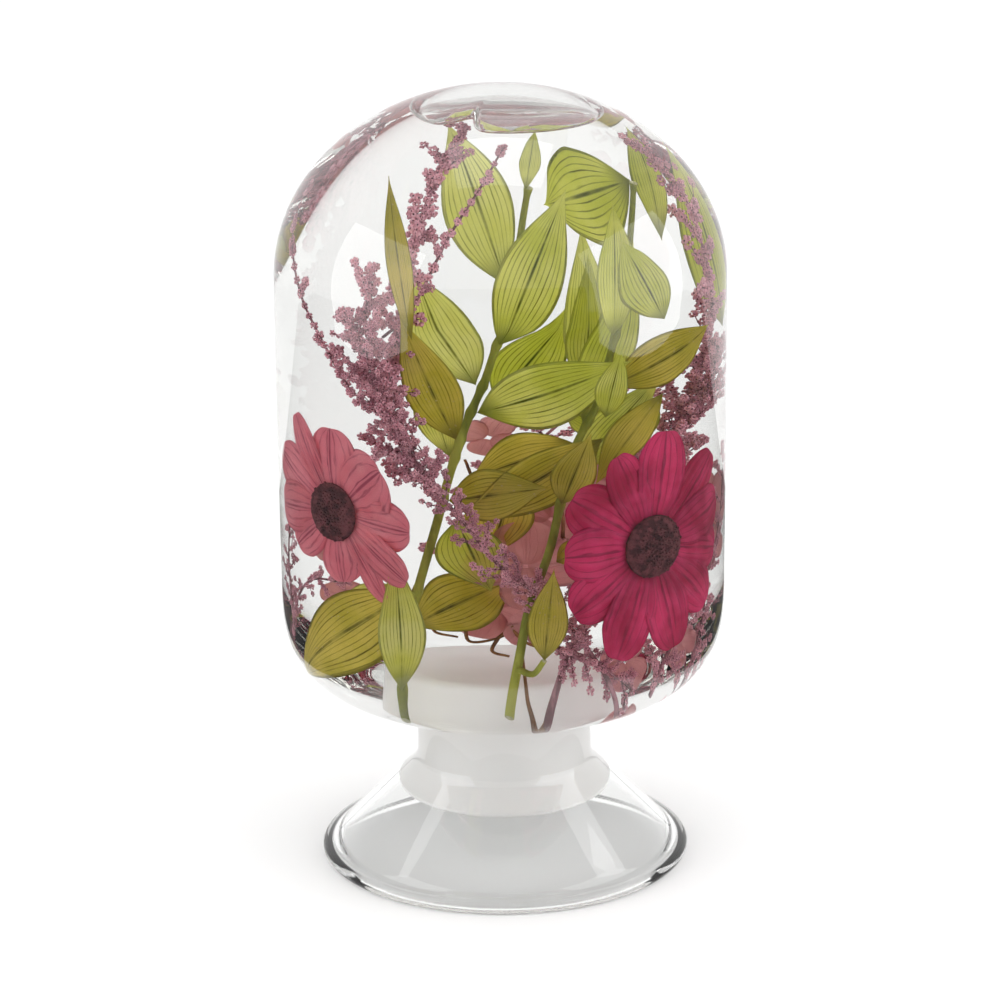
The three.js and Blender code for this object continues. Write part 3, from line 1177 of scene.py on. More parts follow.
def make_leaf(name: str, plan: LeafPlan, base: np.ndarray, seed: int) -> bpy.types.Object:
    """Makes one leaf.

    Args:
        name: the piece's name.
        plan: the leaf's design.
        base: where it starts, in metres.
        seed: sets its ripples.

    Returns:
        The leaf, not yet tied to the frame.
    """
    draw = random.Random(seed)
    tip = np.array(plan.tip) * MM
    along = unit(tip - base)
    level = square_to(FRONT, along)
    roll = math.radians(plan.roll)
    facing = level * math.cos(roll) + np.cross(along, level) * math.sin(roll)
    maker = MeshMaker()
    Blade(
        base, tip, plan.width * MM, facing, plan.bow * MM, plan.cup, LEAF_OUTLINE,
        fold=plan.fold, ripple=draw.uniform(0.2, 0.6) * MM, ripples=draw.uniform(1.2, 2.4),
        twist=draw.uniform(-0.25, 0.25), phase=draw.uniform(0, 6),
    ).add_to(maker)
    return maker.make(name, (plan.finish,))


@dataclass
class RuscusBranch:
    """A preserved ruscus branch: a stem with its leaves, each a piece of its own."""

    name: str
    route: Sequence[Point]
    leaves: Sequence[LeafPlan]
    seed: int
    radius: float = 1.0
    tip_radius: float = 0.55
    stalk_gap: float = 1.15
    swelling: float = 0.28
    swelling_length: float = 1.1
    steps: int = 110
    search_steps: int = 400

    def stem_side(self, z: float, tip: np.ndarray) -> np.ndarray:
        """Where a leaf leaves the stem.

        Args:
            z: the height on the stem, in millimetres.
            tip: the leaf's tip, in metres.

        Returns:
            The point beside the stem, towards the tip.
        """
        line = smooth_route(self.route, self.search_steps)
        k = int(np.argmin(np.abs(line[:, 2] - z * MM)))
        tangent = unit(line[min(k + 1, self.search_steps - 1)] - line[max(k - 1, 0)])
        return line[k] + square_to(tip - line[k], tangent) * self.stalk_gap * MM

    def build_stem(self) -> bpy.types.Object:
        """Makes the stem, swollen where each leaf leaves it, with pale cut ends.

        Returns:
            The stem, not yet tied to the frame.
        """
        line = smooth_route(self.route, self.steps)
        heights = [plan.start for plan in self.leaves if not isinstance(plan.start, tuple)]
        share = np.linspace(0, 1, self.steps)
        radius = self.radius + (self.tip_radius - self.radius) * share
        for z in heights:
            radius = radius + self.swelling * np.exp(-(((line[:, 2] / MM - z) / self.swelling_length) ** 2))
        return sweep(f"{self.name}_stalk", line, radius * MM, STEM, CUT_END)

    def build(self) -> list[bpy.types.Object]:
        """Makes the stem and its leaves.

        Returns:
            The stem and the leaves.
        """
        pieces = [settle(self.build_stem(), Slot.STEM, [self.name])]
        for number, plan in enumerate(self.leaves, 1):
            tip = np.array(plan.tip) * MM
            own_start = isinstance(plan.start, tuple)
            base = np.array(plan.start) * MM if own_start else self.stem_side(plan.start, tip)
            piece = make_leaf(f"{self.name}_blade_{number:02d}", plan, base, self.seed * 100 + number)
            pieces.append(settle(piece, plan.slot(), [f"{self.name}_leaf_{number}"]))
        return pieces


STALK_RIDGES = 5
STALK_RIDGE_HEIGHT = 0.05


def sweep(
    name: str, line: np.ndarray, radii: np.ndarray, finish: Finish, end_finish: Finish, sides: int = 14,
) -> bpy.types.Object:
    """Makes a round stalk along a line, with domed cut ends.

    Args:
        name: the piece's name.
        line: its centreline, in metres.
        radii: its radius at each point.
        finish: the finish of its skin.
        end_finish: the finish of its ends.
        sides: how many sides it has.

    Returns:
        The object.
    """
    tangent = unit(np.gradient(line, axis=0))
    side = square_to(np.broadcast_to(np.array([1.0, 0.0, 0.0]), tangent.shape), tangent)
    third = np.cross(tangent, side)
    angles = np.arange(sides) * 2 * math.pi / sides
    ridge = 1 + STALK_RIDGE_HEIGHT * np.cos(angles * STALK_RIDGES)
    ring = np.cos(angles)[None, :, None] * side[:, None, :]
    ring = ring + np.sin(angles)[None, :, None] * third[:, None, :]
    skin = line[:, None, :] + ring * radii[:, None, None] * ridge[None, :, None]
    maker = MeshMaker()
    first = maker.put(skin)
    count = len(line)
    for k in range(count - 1):
        for i in range(sides):
            j = (i + 1) % sides
            a, b = first + k * sides, first + (k + 1) * sides
            maker.face((a + i, a + j, b + j, b + i))
    for k, sign in ((0, -1), (count - 1, 1)):
        centre = maker.put(line[k] + tangent[k] * sign * radii[k] * 0.25)
        for i in range(sides):
            j = (i + 1) % sides
            a = first + k * sides
            corners = (a + i, a + j, centre) if sign > 0 else (a + j, a + i, centre)
            maker.face(corners, slot=1)
    return maker.make(name, (finish, end_finish))


# ---- Daisies ----


@dataclass(frozen=True)
class PetalPlan:
    """One ray petal: its turn round the disc in degrees, and its length, width and lift in millimetres."""

    turn: float
    length: float
    width: float
    lift: float = 0.0
    in_frame: bool = True  # whether the frame has this petal


@dataclass
class Daisy:
    """A dyed daisy: ray petals round a wine-dark disc of tiny florets."""

    name: str
    centre: Point
    axis: Point
    disc_radius: float
    disc_height: float
    petals: Sequence[PetalPlan]
    finish: BladeFinish
    slot: Slot
    seed: int
    florets: int = 210
    floret_size: float = 0.42
    fullness: float = 1.35
    tuck: float = 2.2  # how far the petals start inside the disc's edge
    tuck_depth: float = 1.6
    disc_overhang: float = 1.1

    def directions(self) -> tuple[np.ndarray, np.ndarray, np.ndarray]:
        """The way the flower faces, its right and its top.

        Returns:
            Three unit vectors.
        """
        facing = unit(np.array(self.axis, float))
        right = unit(np.cross(UP, facing))
        return facing, right, np.cross(facing, right)

    def build(self) -> list[bpy.types.Object]:
        """Makes each petal and the disc.

        Returns:
            The petals and the disc.
        """
        facing, right, top = self.directions()
        centre = np.array(self.centre) * MM
        draw = random.Random(self.seed)
        pieces = []
        number = 0
        for order, plan in enumerate(self.petals, 1):
            number += plan.in_frame
            turn = math.radians(plan.turn)
            out = right * math.sin(turn) + top * math.cos(turn)
            base = centre + (out * (self.disc_radius - self.tuck) - facing * self.tuck_depth) * MM
            tip = centre + (out * plan.length + facing * plan.lift) * MM
            width = plan.width * self.fullness * MM * draw.uniform(0.97, 1.08)
            cup = draw.uniform(-0.22, 0.05)
            maker = MeshMaker()
            Blade(
                base, tip, width, facing, 0.8 * MM, cup, PETAL_OUTLINE,
                thickness=0.3 * MM, ripple=draw.uniform(0.3, 0.9) * MM, ripples=draw.uniform(1.0, 2.0),
                ridges=5, ridge_height=draw.uniform(0.22, 0.34) * MM,
                twist=draw.uniform(-0.2, 0.2), phase=draw.uniform(0, 6), rows=30, columns=28,
            ).add_to(maker)
            piece = maker.make(f"{self.name}_ray_{order:02d}", (self.finish,))
            nodes = [f"{self.name}_petal_{number:02d}"] if plan.in_frame else []
            pieces.append(settle(piece, self.slot, nodes))
        pieces.append(self.build_disc(centre, facing, right, top))
        return pieces

    def build_disc(
        self, centre: np.ndarray, facing: np.ndarray, right: np.ndarray, top: np.ndarray,
    ) -> bpy.types.Object:
        """Makes the disc: a low domed core covered in florets, with a cup behind it.

        Args:
            centre: the flower's centre, in metres.
            facing: the way it faces.
            right: its right.
            top: its top.

        Returns:
            The disc.
        """
        radius, height = self.disc_radius * self.disc_overhang * MM, self.disc_height * MM
        core = MeshMaker()
        profile = [
            (0.0, -height * 1.1), (radius * 0.3, -height * 1.05), (radius * 0.8, -height * 0.5),
            (radius, -height * 0.1), (radius * 0.97, height * 0.25), (radius * 0.75, height * 0.62),
            (radius * 0.4, height * 0.8), (0.0, height * 0.72),
        ]
        core.turn(profile, 40)
        piece = core.make(f"{self.name}_heart", (DISC,))
        grow(piece, floret_tree(), {
            "Count": self.florets,
            "Radius": radius,
            "Dome": height * 0.9,
            "Floret Size": self.floret_size * MM,
            "Seed": self.seed,
            "Material": DISC.material(),
        })
        turn = Matrix(np.stack([right, top, facing], 1).tolist()).to_4x4()
        piece.data.transform(Matrix.Translation(Vector(centre.tolist())) @ turn)
        return settle(piece, Slot.FLOWER_DISC, [f"{self.name}_disc"])


# ---- Geometry Nodes: florets and sprigs ----


class TreeBuilder(Nodes):
    """Builds a Geometry Nodes tree with named inputs."""

    def __init__(self, name: str, inputs: dict[str, str]) -> None:
        """Args:
            name: the tree's name.
            inputs: the socket type of each named input.
        """
        super().__init__(bpy.data.node_groups.new(name, "GeometryNodeTree"))
        face = self.tree.interface
        face.new_socket("Geometry", in_out="INPUT", socket_type="NodeSocketGeometry")
        for label, kind in inputs.items():
            face.new_socket(label, in_out="INPUT", socket_type=kind)
        face.new_socket("Geometry", in_out="OUTPUT", socket_type="NodeSocketGeometry")
        self.given = self.add("NodeGroupInput").outputs

    def vector(self, operation: str, first: Any, second: Any = (0.0, 0.0, 0.0)) -> Socket:
        """Adds a Vector Math node and returns its vector."""
        return self.add("ShaderNodeVectorMath", {0: first, 1: second}, operation=operation).outputs[0]

    def combine(self, x: Any, y: Any, z: Any) -> Socket:
        """A vector of three values."""
        return self.add("ShaderNodeCombineXYZ", {0: x, 1: y, 2: z}).outputs[0]

    def random(self, kind: str, low: Any, high: Any, seed: Any) -> Socket:
        """A random value or vector for each element.

        Args:
            kind: FLOAT or FLOAT_VECTOR.
            low: the least value.
            high: the greatest.
            seed: the socket of the seed.

        Returns:
            The random value.
        """
        node = self.add("FunctionNodeRandomValue", data_type=kind)
        first = 0 if kind == "FLOAT_VECTOR" else 2
        node.inputs[first].default_value = low
        node.inputs[first + 1].default_value = high
        self.tree.links.new(seed, node.inputs["Seed"])
        return node.outputs[0 if kind == "FLOAT_VECTOR" else 1]

    def join(self, *parts: Socket) -> Socket:
        """Joins geometries.

        Args:
            parts: the geometries.

        Returns:
            All of them as one.
        """
        node = self.add("GeometryNodeJoinGeometry")
        for part in parts:
            self.tree.links.new(part, node.inputs[0])
        return node.outputs[0]

    def painted(self, geometry: Socket, material: Any) -> Socket:
        """Real geometry in one material, smooth-shaded.

        Args:
            geometry: the geometry, with instances or without.
            material: the material or its socket.

        Returns:
            The painted geometry.
        """
        real = self.add("GeometryNodeRealizeInstances", {"Geometry": geometry}).outputs[0]
        smooth = self.add("GeometryNodeSetShadeSmooth", {"Geometry": real}).outputs[0]
        return self.add("GeometryNodeSetMaterial", {"Geometry": smooth, "Material": material}).outputs[0]

    def finish(self, geometry: Socket) -> bpy.types.NodeTree:
        """Sends the result to the output and returns the tree."""
        self.add("NodeGroupOutput", {0: geometry})
        return self.tree


def grow(piece: bpy.types.Object, tree: bpy.types.NodeTree, values: dict[str, Any]) -> None:
    """Runs a Geometry Nodes tree on a piece and keeps the result as its mesh.

    Args:
        piece: the object to work on.
        tree: the tree.
        values: a value for each named input.
    """
    modifier = piece.modifiers.new(tree.name, "NODES")
    modifier.node_group = tree
    names = {item.name: item.identifier for item in tree.interface.items_tree if item.in_out == "INPUT"}
    for label, value in values.items():
        modifier[names[label]] = value
    graph = bpy.context.evaluated_depsgraph_get()
    graph.update()
    mesh = bpy.data.meshes.new_from_object(piece.evaluated_get(graph), depsgraph=graph)
    piece.modifiers.remove(modifier)
    old = piece.data
    piece.data = mesh
    mesh.name = piece.name
    bpy.data.meshes.remove(old)


def floret_tree() -> bpy.types.NodeTree:
    """Tiny florets set over a low dome about Z in the golden-angle spiral of a daisy's disc.

    Returns:
        The tree, made once.
    """
    name = "disc_florets"
    if name in bpy.data.node_groups:
        return bpy.data.node_groups[name]
    b = TreeBuilder(name, {
        "Count": "NodeSocketInt",
        "Radius": "NodeSocketFloat",
        "Dome": "NodeSocketFloat",
        "Floret Size": "NodeSocketFloat",
        "Seed": "NodeSocketInt",
        "Material": "NodeSocketMaterial",
    })
    given = b.given
    points = b.add("GeometryNodePoints", {"Count": given["Count"]}).outputs[0]
    index = b.add("GeometryNodeInputIndex").outputs[0]
    share = b.math("SQRT", b.math("DIVIDE", index, given["Count"]))
    angle = b.math("MULTIPLY", index, GOLDEN_ANGLE)
    reach = b.math("MULTIPLY", share, given["Radius"])
    fall = b.math("SUBTRACT", 1.0, b.math("POWER", share, 3.0))
    height = b.math("MULTIPLY", fall, given["Dome"])
    across = b.math("MULTIPLY", reach, b.math("COSINE", angle))
    deep = b.math("MULTIPLY", reach, b.math("SINE", angle))
    place = b.combine(across, deep, height)
    scatter = b.random("FLOAT_VECTOR", (-0.0001,) * 3, (0.0001,) * 3, given["Seed"])
    spot = b.vector("ADD", place, scatter)
    placed = b.add("GeometryNodeSetPosition", {"Geometry": points, "Position": spot}).outputs[0]
    ball = b.add("GeometryNodeMeshIcoSphere", {"Radius": given["Floret Size"], "Subdivisions": 1}).outputs[0]
    size = b.random("FLOAT_VECTOR", (0.7, 0.7, 0.9), (1.1, 1.1, 2.2), given["Seed"])
    set_on = b.add("GeometryNodeInstanceOnPoints", {
        "Points": placed, "Instance": ball, "Scale": size,
    }).outputs[0]
    florets = b.painted(set_on, given["Material"])
    return b.finish(b.join(given["Geometry"], florets))


def sprig_tree() -> bpy.types.NodeTree:
    """Stalks swept along a skeleton's edges, with a cluster of buds at each point that has a bud size.

    Returns:
        The tree, made once.
    """
    name = "sprig_growth"
    if name in bpy.data.node_groups:
        return bpy.data.node_groups[name]
    b = TreeBuilder(name, {
        "Sides": "NodeSocketInt",
        "Bud Radius": "NodeSocketFloat",
        "Cluster": "NodeSocketFloat",
        "Seed": "NodeSocketInt",
        "Stalk Material": "NodeSocketMaterial",
        "Bud Material": "NodeSocketMaterial",
    })
    given = b.given
    radius = b.add("GeometryNodeInputNamedAttribute", {"Name": "radius"}, data_type="FLOAT").outputs[0]
    bud = b.add("GeometryNodeInputNamedAttribute", {"Name": "bud"}, data_type="FLOAT").outputs[0]
    curve = b.add("GeometryNodeMeshToCurve", {"Mesh": given["Geometry"]}).outputs[0]
    circle = b.add("GeometryNodeCurvePrimitiveCircle", {
        "Resolution": given["Sides"], "Radius": 1.0,
    }).outputs[0]
    stalk = b.add("GeometryNodeCurveToMesh", {
        "Curve": curve, "Profile Curve": circle, "Scale": radius, "Fill Caps": True,
    }).outputs[0]
    stalks = b.painted(stalk, given["Stalk Material"])
    has_bud = b.math("GREATER_THAN", bud, 0.0)
    points = b.add("GeometryNodeMeshToPoints", {"Mesh": given["Geometry"], "Selection": has_bud})
    lumps = b.add("GeometryNodeMeshIcoSphere", {"Radius": 0.8, "Subdivisions": 1}).outputs[0]
    spots = b.add("GeometryNodeMeshToPoints", {"Mesh": lumps}).outputs[0]
    spots = b.add("GeometryNodeSetPosition", {
        "Geometry": spots,
        "Offset": b.random("FLOAT_VECTOR", (-0.14,) * 3, (0.14,) * 3, given["Seed"]),
    }).outputs[0]
    bead = b.add("GeometryNodeMeshIcoSphere", {"Radius": given["Bud Radius"], "Subdivisions": 1}).outputs[0]
    # marks each bead's outer tip for a dot of painted pit shade
    height = b.add("ShaderNodeSeparateXYZ", {0: b.add("GeometryNodeInputPosition").outputs[0]}).outputs[2]
    pit = b.math("GREATER_THAN", height, b.math("MULTIPLY", given["Bud Radius"], 0.9))
    bead = b.add("GeometryNodeStoreNamedAttribute", {
        "Geometry": bead, "Name": "pit", "Value": pit,
    }).outputs[0]
    outward = b.add("FunctionNodeAlignRotationToVector", {
        "Vector": b.add("GeometryNodeInputPosition").outputs[0],
    }, axis="Z").outputs[0]
    bead_size = b.random("FLOAT", 0.65, 1.25, given["Seed"])
    cluster = b.add("GeometryNodeInstanceOnPoints", {
        "Points": spots, "Instance": bead, "Rotation": outward, "Scale": bead_size,
    }).outputs[0]
    cluster = b.add("GeometryNodeRealizeInstances", {"Geometry": cluster}).outputs[0]
    turn = b.random("FLOAT_VECTOR", (0.0,) * 3, (2 * math.pi,) * 3, given["Seed"])
    rotation = b.add("FunctionNodeEulerToRotation", {0: turn}).outputs[0]
    size = b.math("MULTIPLY", bud, given["Cluster"])
    buds = b.add("GeometryNodeInstanceOnPoints", {
        "Points": points.outputs[0], "Instance": cluster, "Rotation": rotation, "Scale": size,
    }).outputs[0]
    return b.finish(b.join(stalks, b.painted(buds, given["Bud Material"])))


@dataclass
class Sprig:
    """A dried limonium sprig: a stalk with side branchlets, all strung with clusters of tiny buds."""

    name: str
    route: Sequence[Point]
    seed: int
    node: Optional[str] = None
    radius: float = 0.55
    bare: float = 0.1  # the share of the stalk, from its foot, that has no buds
    branches: int = 16
    reach: float = 11.0
    bud_size: float = 0.85
    chain: float = 0.0  # the size of the clusters on the stalk itself
    spacing: float = 2.0
    spread: float = 1.0
    twigs: int = 3
    clearance: float = 1.6
    taper: float = 0.5
    bead_gap: float = 1.6  # the distance between the clusters on the stalk itself
    tip_radius: float = 0.22
    branch_radii: tuple[float, float] = (0.24, 0.14)
    twig_radii: tuple[float, float] = (0.15, 0.1)
    bead_radius: float = 0.42  # beside the size of its cluster
    sway: float = 0.2
    lift: float = 0.05
    turn_step: float = 2.4  # radians round the stalk from one branchlet to the next
    route_steps: int = 240

    def __post_init__(self) -> None:
        """Starts the skeleton empty."""
        self.draw = random.Random(self.seed)
        self.points: list[np.ndarray] = []
        self.edges: list[tuple[int, int]] = []
        self.radii: list[float] = []
        self.buds: list[float] = []

    def strand(self, line: np.ndarray, start: float, end: float, sizes: Sequence[float]) -> None:
        """Adds a stalk to the skeleton.

        Args:
            line: its points, in metres.
            start: its radius at the foot, in millimetres.
            end: its radius at the tip.
            sizes: the size of the bud cluster at each point, or 0.
        """
        first = len(self.points)
        last = len(line) - 1
        for k, place in enumerate(SHAPE.keep_inside(line, self.clearance)):
            self.points.append(place)
            self.radii.append((start + (end - start) * k / last) * MM)
            self.buds.append(sizes[k] * MM)
            if k:
                self.edges.append((first + k - 1, first + k))

    def shoot(self, base: np.ndarray, heading: np.ndarray, length: float, steps: int) -> np.ndarray:
        """A slightly crooked line that starts at a point and grows a little upwards.

        Args:
            base: where it starts, in metres.
            heading: the way it starts.
            length: its length, in metres.
            steps: how many steps it takes.

        Returns:
            Its points.
        """
        places = [base]
        way = heading
        for _ in range(steps):
            stray = np.array([self.draw.uniform(-self.sway, self.sway) for _ in range(3)])
            way = unit(way + stray + UP * self.lift)
            places.append(places[-1] + way * length / steps)
        return np.array(places)

    def branch(self, base: np.ndarray, heading: np.ndarray, length: float) -> None:
        """Adds a side branchlet with its clusters and short twigs.

        Args:
            base: where it leaves the stalk, in metres.
            heading: the way it starts.
            length: its length, in metres.
        """
        steps = max(3, round(length / MM / self.spacing))
        line = self.shoot(base, heading, length, steps)
        size = self.bud_size * self.draw.uniform(0.85, 1.1)
        sizes = [0.0] + [size * self.draw.uniform(0.7, 1.05) for _ in range(steps)]
        self.strand(line, *self.branch_radii, sizes)
        for _ in range(self.twigs):
            at = self.draw.randint(1, steps - 1)
            way = unit(line[at + 1] - line[at]) + np.array([self.draw.uniform(-1, 1) for _ in range(3)]) * 0.9
            twig = self.shoot(line[at], unit(way), size * self.draw.uniform(2.0, 4.5) * MM, 2)
            beads = [0.0, size * self.draw.choice((0.0, 0.75)), size * self.draw.uniform(0.7, 1.0)]
            self.strand(twig, *self.twig_radii, beads)

    def build(self) -> bpy.types.Object:
        """Makes the sprig.

        Returns:
            The sprig.
        """
        route = smooth_route(self.route, self.route_steps)
        run = np.concatenate([[0.0], np.cumsum(np.linalg.norm(np.diff(route, axis=0), axis=1))])
        count = max(8, round(run[-1] / MM / self.bead_gap))
        even = np.linspace(0, run[-1], count)
        spine = np.stack([np.interp(even, run, route[:, axis]) for axis in range(3)], 1)
        share = np.linspace(0, 1, count)
        chain = [
            self.chain * self.draw.uniform(0.75, 1.1) * (1 - 0.3 * t) if t >= self.bare else 0.0
            for t in share
        ]
        chain[-1] = max(chain[-1], self.bud_size * 0.8)
        self.strand(spine, self.radius, self.tip_radius, chain)
        for k in range(self.branches):
            t = self.bare + (1 - self.bare) * (k + self.draw.random()) / self.branches
            at = min(count - 2, int(t * (count - 1)))
            tangent = unit(spine[at + 1] - spine[at])
            turn = k * self.turn_step + self.draw.uniform(-0.5, 0.5)
            side = square_to(FRONT + np.array([0.01, 0.0, 0.02]), tangent)
            out = side * math.cos(turn) + np.cross(tangent, side) * math.sin(turn)
            sideways = out * self.spread * self.draw.uniform(0.7, 1.2)
            heading = unit(sideways + tangent * self.draw.uniform(0.6, 1.1))
            length = self.reach * MM * self.draw.uniform(0.5, 1.0) * (1.1 - self.taper * t)
            self.branch(spine[at], heading, length)
        mesh = bpy.data.meshes.new(self.name)
        mesh.from_pydata(np.array(self.points).tolist(), self.edges, [])
        for label, values in (("radius", self.radii), ("bud", self.buds)):
            mesh.attributes.new(label, "FLOAT", "POINT").data.foreach_set("value", values)
        piece = bpy.data.objects.new(self.name, mesh)
        bpy.context.scene.collection.objects.link(piece)
        grow(piece, sprig_tree(), {
            "Sides": 6,
            "Bud Radius": self.bead_radius,
            "Cluster": 1.0,
            "Seed": self.seed,
            "Stalk Material": SPRIG_STALK.material(),
            "Bud Material": BUDS.material(),
        })
        return settle(piece, Slot.SPRIG, [self.node] if self.node else [])


# ---- Hydrangea ----


@dataclass(frozen=True)
class FloretPlan:
    """One hydrangea floret: its centre and facing, and how far its bracts reach, in millimetres."""

    centre: Point
    facing: Point
    reach: float
    turn: float = 0.0


@dataclass
class Hydrangea:
    """A small hydrangea spray low in the vessel: a brown twig and florets of four pale bracts."""

    route: Sequence[Point]
    florets: Sequence[FloretPlan]
    side_twigs: Sequence[Sequence[Point]]
    seed: int = 11
    steps: int = 40
    twig_radii: tuple[float, float] = (0.75, 0.45)
    side_radii: tuple[float, float] = (0.42, 0.26)

    def build(self) -> list[bpy.types.Object]:
        """Makes the twig with its side stalks, and the florets.

        Returns:
            The twig, its side stalks and the florets.
        """
        draw = random.Random(self.seed)
        line, radii = smooth_route(self.route, self.steps), np.linspace(*self.twig_radii, self.steps) * MM
        twig = sweep("hydrangea_stalk", line, radii, TWIG, TWIG, 10)
        pieces = [settle(twig, Slot.TWIG, ["hydrangea_twig"])]
        for number, route in enumerate(self.side_twigs, 1):
            line = smooth_route(route, 6 * len(route))
            radii = np.linspace(*self.side_radii, len(line)) * MM
            side = sweep(f"hydrangea_side_{number}", line, radii, TWIG, TWIG, 8)
            pieces.append(settle(side, Slot.TWIG, []))
        for number, plan in enumerate(self.florets, 1):
            maker = MeshMaker()
            facing = unit(np.array(plan.facing, float))
            right = unit(np.cross(UP + np.array([0.01, 0.0, 0.0]), facing))
            top = np.cross(facing, right)
            centre = np.array(plan.centre) * MM
            for quarter in range(4):
                turn = math.radians(plan.turn + 90 * quarter + draw.uniform(-9, 9))
                out = right * math.sin(turn) + top * math.cos(turn)
                reach = plan.reach * draw.uniform(0.88, 1.08) * MM
                tip = centre + out * reach + facing * reach * draw.uniform(0.05, 0.4)
                Blade(
                    centre + out * 0.4 * MM, tip, reach * draw.uniform(0.95, 1.15), facing, -0.6 * MM,
                    draw.uniform(-0.1, 0.3), BRACT_OUTLINE, thickness=0.2 * MM, ripple=reach * 0.06,
                    ripples=1.6, phase=draw.uniform(0, 6), rows=18, columns=12,
                ).add_to(maker)
            piece = maker.make(f"hydrangea_floret_{number:02d}", (BRACT,))
            pieces.append(settle(piece, Slot.FLORET, []))
        return pieces


# ---- The arrangement ----


LEFT_BRANCH = RuscusBranch(
    "left_stem",
    [
        (-21, -27, 52), (-20, -24, 64), (-17, -20, 76), (-12, -15, 95), (-10, -13, 104), (-6, -9, 119),
        (-3, -7, 128), (-1, -6, 136), (2, -3, 146), (4, 0, 156), (5, 0, 161),
    ],
    [
        LeafPlan(137, (13, -13, 167), 12, bow=2),
        LeafPlan(127, (-15, -2, 149), 12, bow=-1, finish=PALE_LEAF),
        LeafPlan(110, (-13, 1, 129), 8),
        LeafPlan(146, (-9, 12, 168), 12, bow=-1, finish=PALE_LEAF),
        LeafPlan(114, (-20, -24, 147), 11, bow=1, finish=OLIVE_LEAF),
        LeafPlan(121, (25, -16, 134), 16, bow=3),
        LeafPlan(100, (9, -19, 104), 13, roll=-15, bow=2, finish=OLIVE_LEAF),
        LeafPlan(70, (2, 0, 77), 15, roll=-20, bow=1, finish=OLIVE_LEAF),
        LeafPlan(78, (-43, -8, 54), 18, roll=10, bow=2, finish=OLIVE_LEAF),
        LeafPlan(56, (-24.5, -41, 93), 11.5, bow=3, finish=PALE_LEAF),
        LeafPlan(161, (7, -2, 175), 4),
        LeafPlan((-1, 8, 120), (10, 13, 140), 11, bow=-1),
    ],
    seed=3,
)
RIGHT_BRANCH = RuscusBranch(
    "right_stem",
    [
        (1, -30, 53), (3, -28, 63), (5, -26, 75), (9, -21, 89), (11, -16, 101), (13, -12, 112),
        (17, -8, 123), (19, -5, 135), (21, -4, 145), (23, -3, 154), (25, -2, 164),
    ],
    [
        LeafPlan(164, (7, 12, 153), 18, roll=12, bow=2, cup=-0.1),
        LeafPlan(126, (46, -17, 141), 12, roll=-10, bow=-1, finish=OLIVE_LEAF),
        LeafPlan((13, 6, 124), (14, 8, 148), 7),
        LeafPlan(118, (22, 6, 152), 9, bow=-3),
        LeafPlan(138, (22, -12, 164), 8, roll=30),
        LeafPlan((33, -20, 144), (25, -26, 162), 12),
        LeafPlan((27, 5, 151), (27, 1, 179), 7, bow=-1),
        LeafPlan(106, (27, 1, 127), 10, bow=-2),
        LeafPlan((20, -20, 121), (24, -23, 138), 7, bow=1),
        LeafPlan(99, (17, -19, 117), 9, bow=1, finish=OLIVE_LEAF),
        LeafPlan((8.5, -34, 64), (11, -39, 88), 9, bow=1, finish=OLIVE_LEAF),
        LeafPlan((34, 14, 133), (29, 17, 165), 8),
    ],
    seed=5,
)
CRIMSON_DAISY = Daisy(
    "crimson_daisy", (33, -30, 90), (0.6, -0.8, 0.05), 7, 3,
    [
        PetalPlan(8, 28, 10), PetalPlan(45, 27, 8, -1), PetalPlan(74, 25, 9), PetalPlan(104, 23, 9, -1),
        PetalPlan(137, 25, 9), PetalPlan(168, 27, 9, -0.5), PetalPlan(203, 28, 10),
        PetalPlan(239, 25, 10, -1), PetalPlan(274, 24, 10), PetalPlan(306, 26, 10, -1),
        PetalPlan(338, 26, 8, 0.5),
    ],
    CRIMSON_PETAL, Slot.CRIMSON_PETAL, 17,
)
ROSE_DAISY = Daisy(
    "rose_daisy", (-37, -26, 98), (-0.74, -0.67, 0.05), 6.5, 3,
    [
        PetalPlan(-31, 25, 5), PetalPlan(-3, 20.5, 11, -0.5), PetalPlan(48, 19.5, 13),
        PetalPlan(91, 23, 9, -1), PetalPlan(117, 27, 6.5, 1, in_frame=False), PetalPlan(137, 25, 4.5, 0.5),
        PetalPlan(167, 17, 10), PetalPlan(-132, 17, 8, -0.5), PetalPlan(-98, 21, 9),
        PetalPlan(-64, 23, 9, -0.5),
    ],
    ROSE_PETAL, Slot.ROSE_PETAL, 23,
)
LOOSE_LEAF = LeafPlan((-18, -29, 142), (-25, -26, 178), 5.5, bow=1, finish=OLIVE_LEAF)
LOOSE_LEAF_SEED = 77
EXTRA_LEAF_SEED = 700
EXTRA_LEAVES = [
    LeafPlan((-19, -10, 77), (-29, -4, 69), 8, finish=PALE_LEAF),
    LeafPlan((10, -18, 85), (18, -18, 90), 7, finish=OLIVE_LEAF),
    LeafPlan((18, -10, 114), (-9, -17, 95), 14, roll=-15, bow=2, finish=OLIVE_LEAF),
    LeafPlan((13, -6, 112), (-6, -8, 104), 13, roll=20, bow=2, finish=OLIVE_LEAF),
    LeafPlan((30, -10, 124), (17, -14, 103), 9, roll=15, bow=1, finish=OLIVE_LEAF),
    LeafPlan((24, 0, 124), (18, 0, 106), 10, roll=-20, bow=1),
    LeafPlan((15, 6, 124), (13, 8, 152), 9, bow=-1, finish=PALE_LEAF),
    LeafPlan((2, -8, 104), (-2, -6, 84), 12, roll=10, bow=1, finish=OLIVE_LEAF),
    LeafPlan((-8, -8, 94), (-2, -10, 76), 13, roll=10, bow=1),
    LeafPlan((10, 4, 118), (22, 4, 112), 10, roll=-30, bow=1),
]
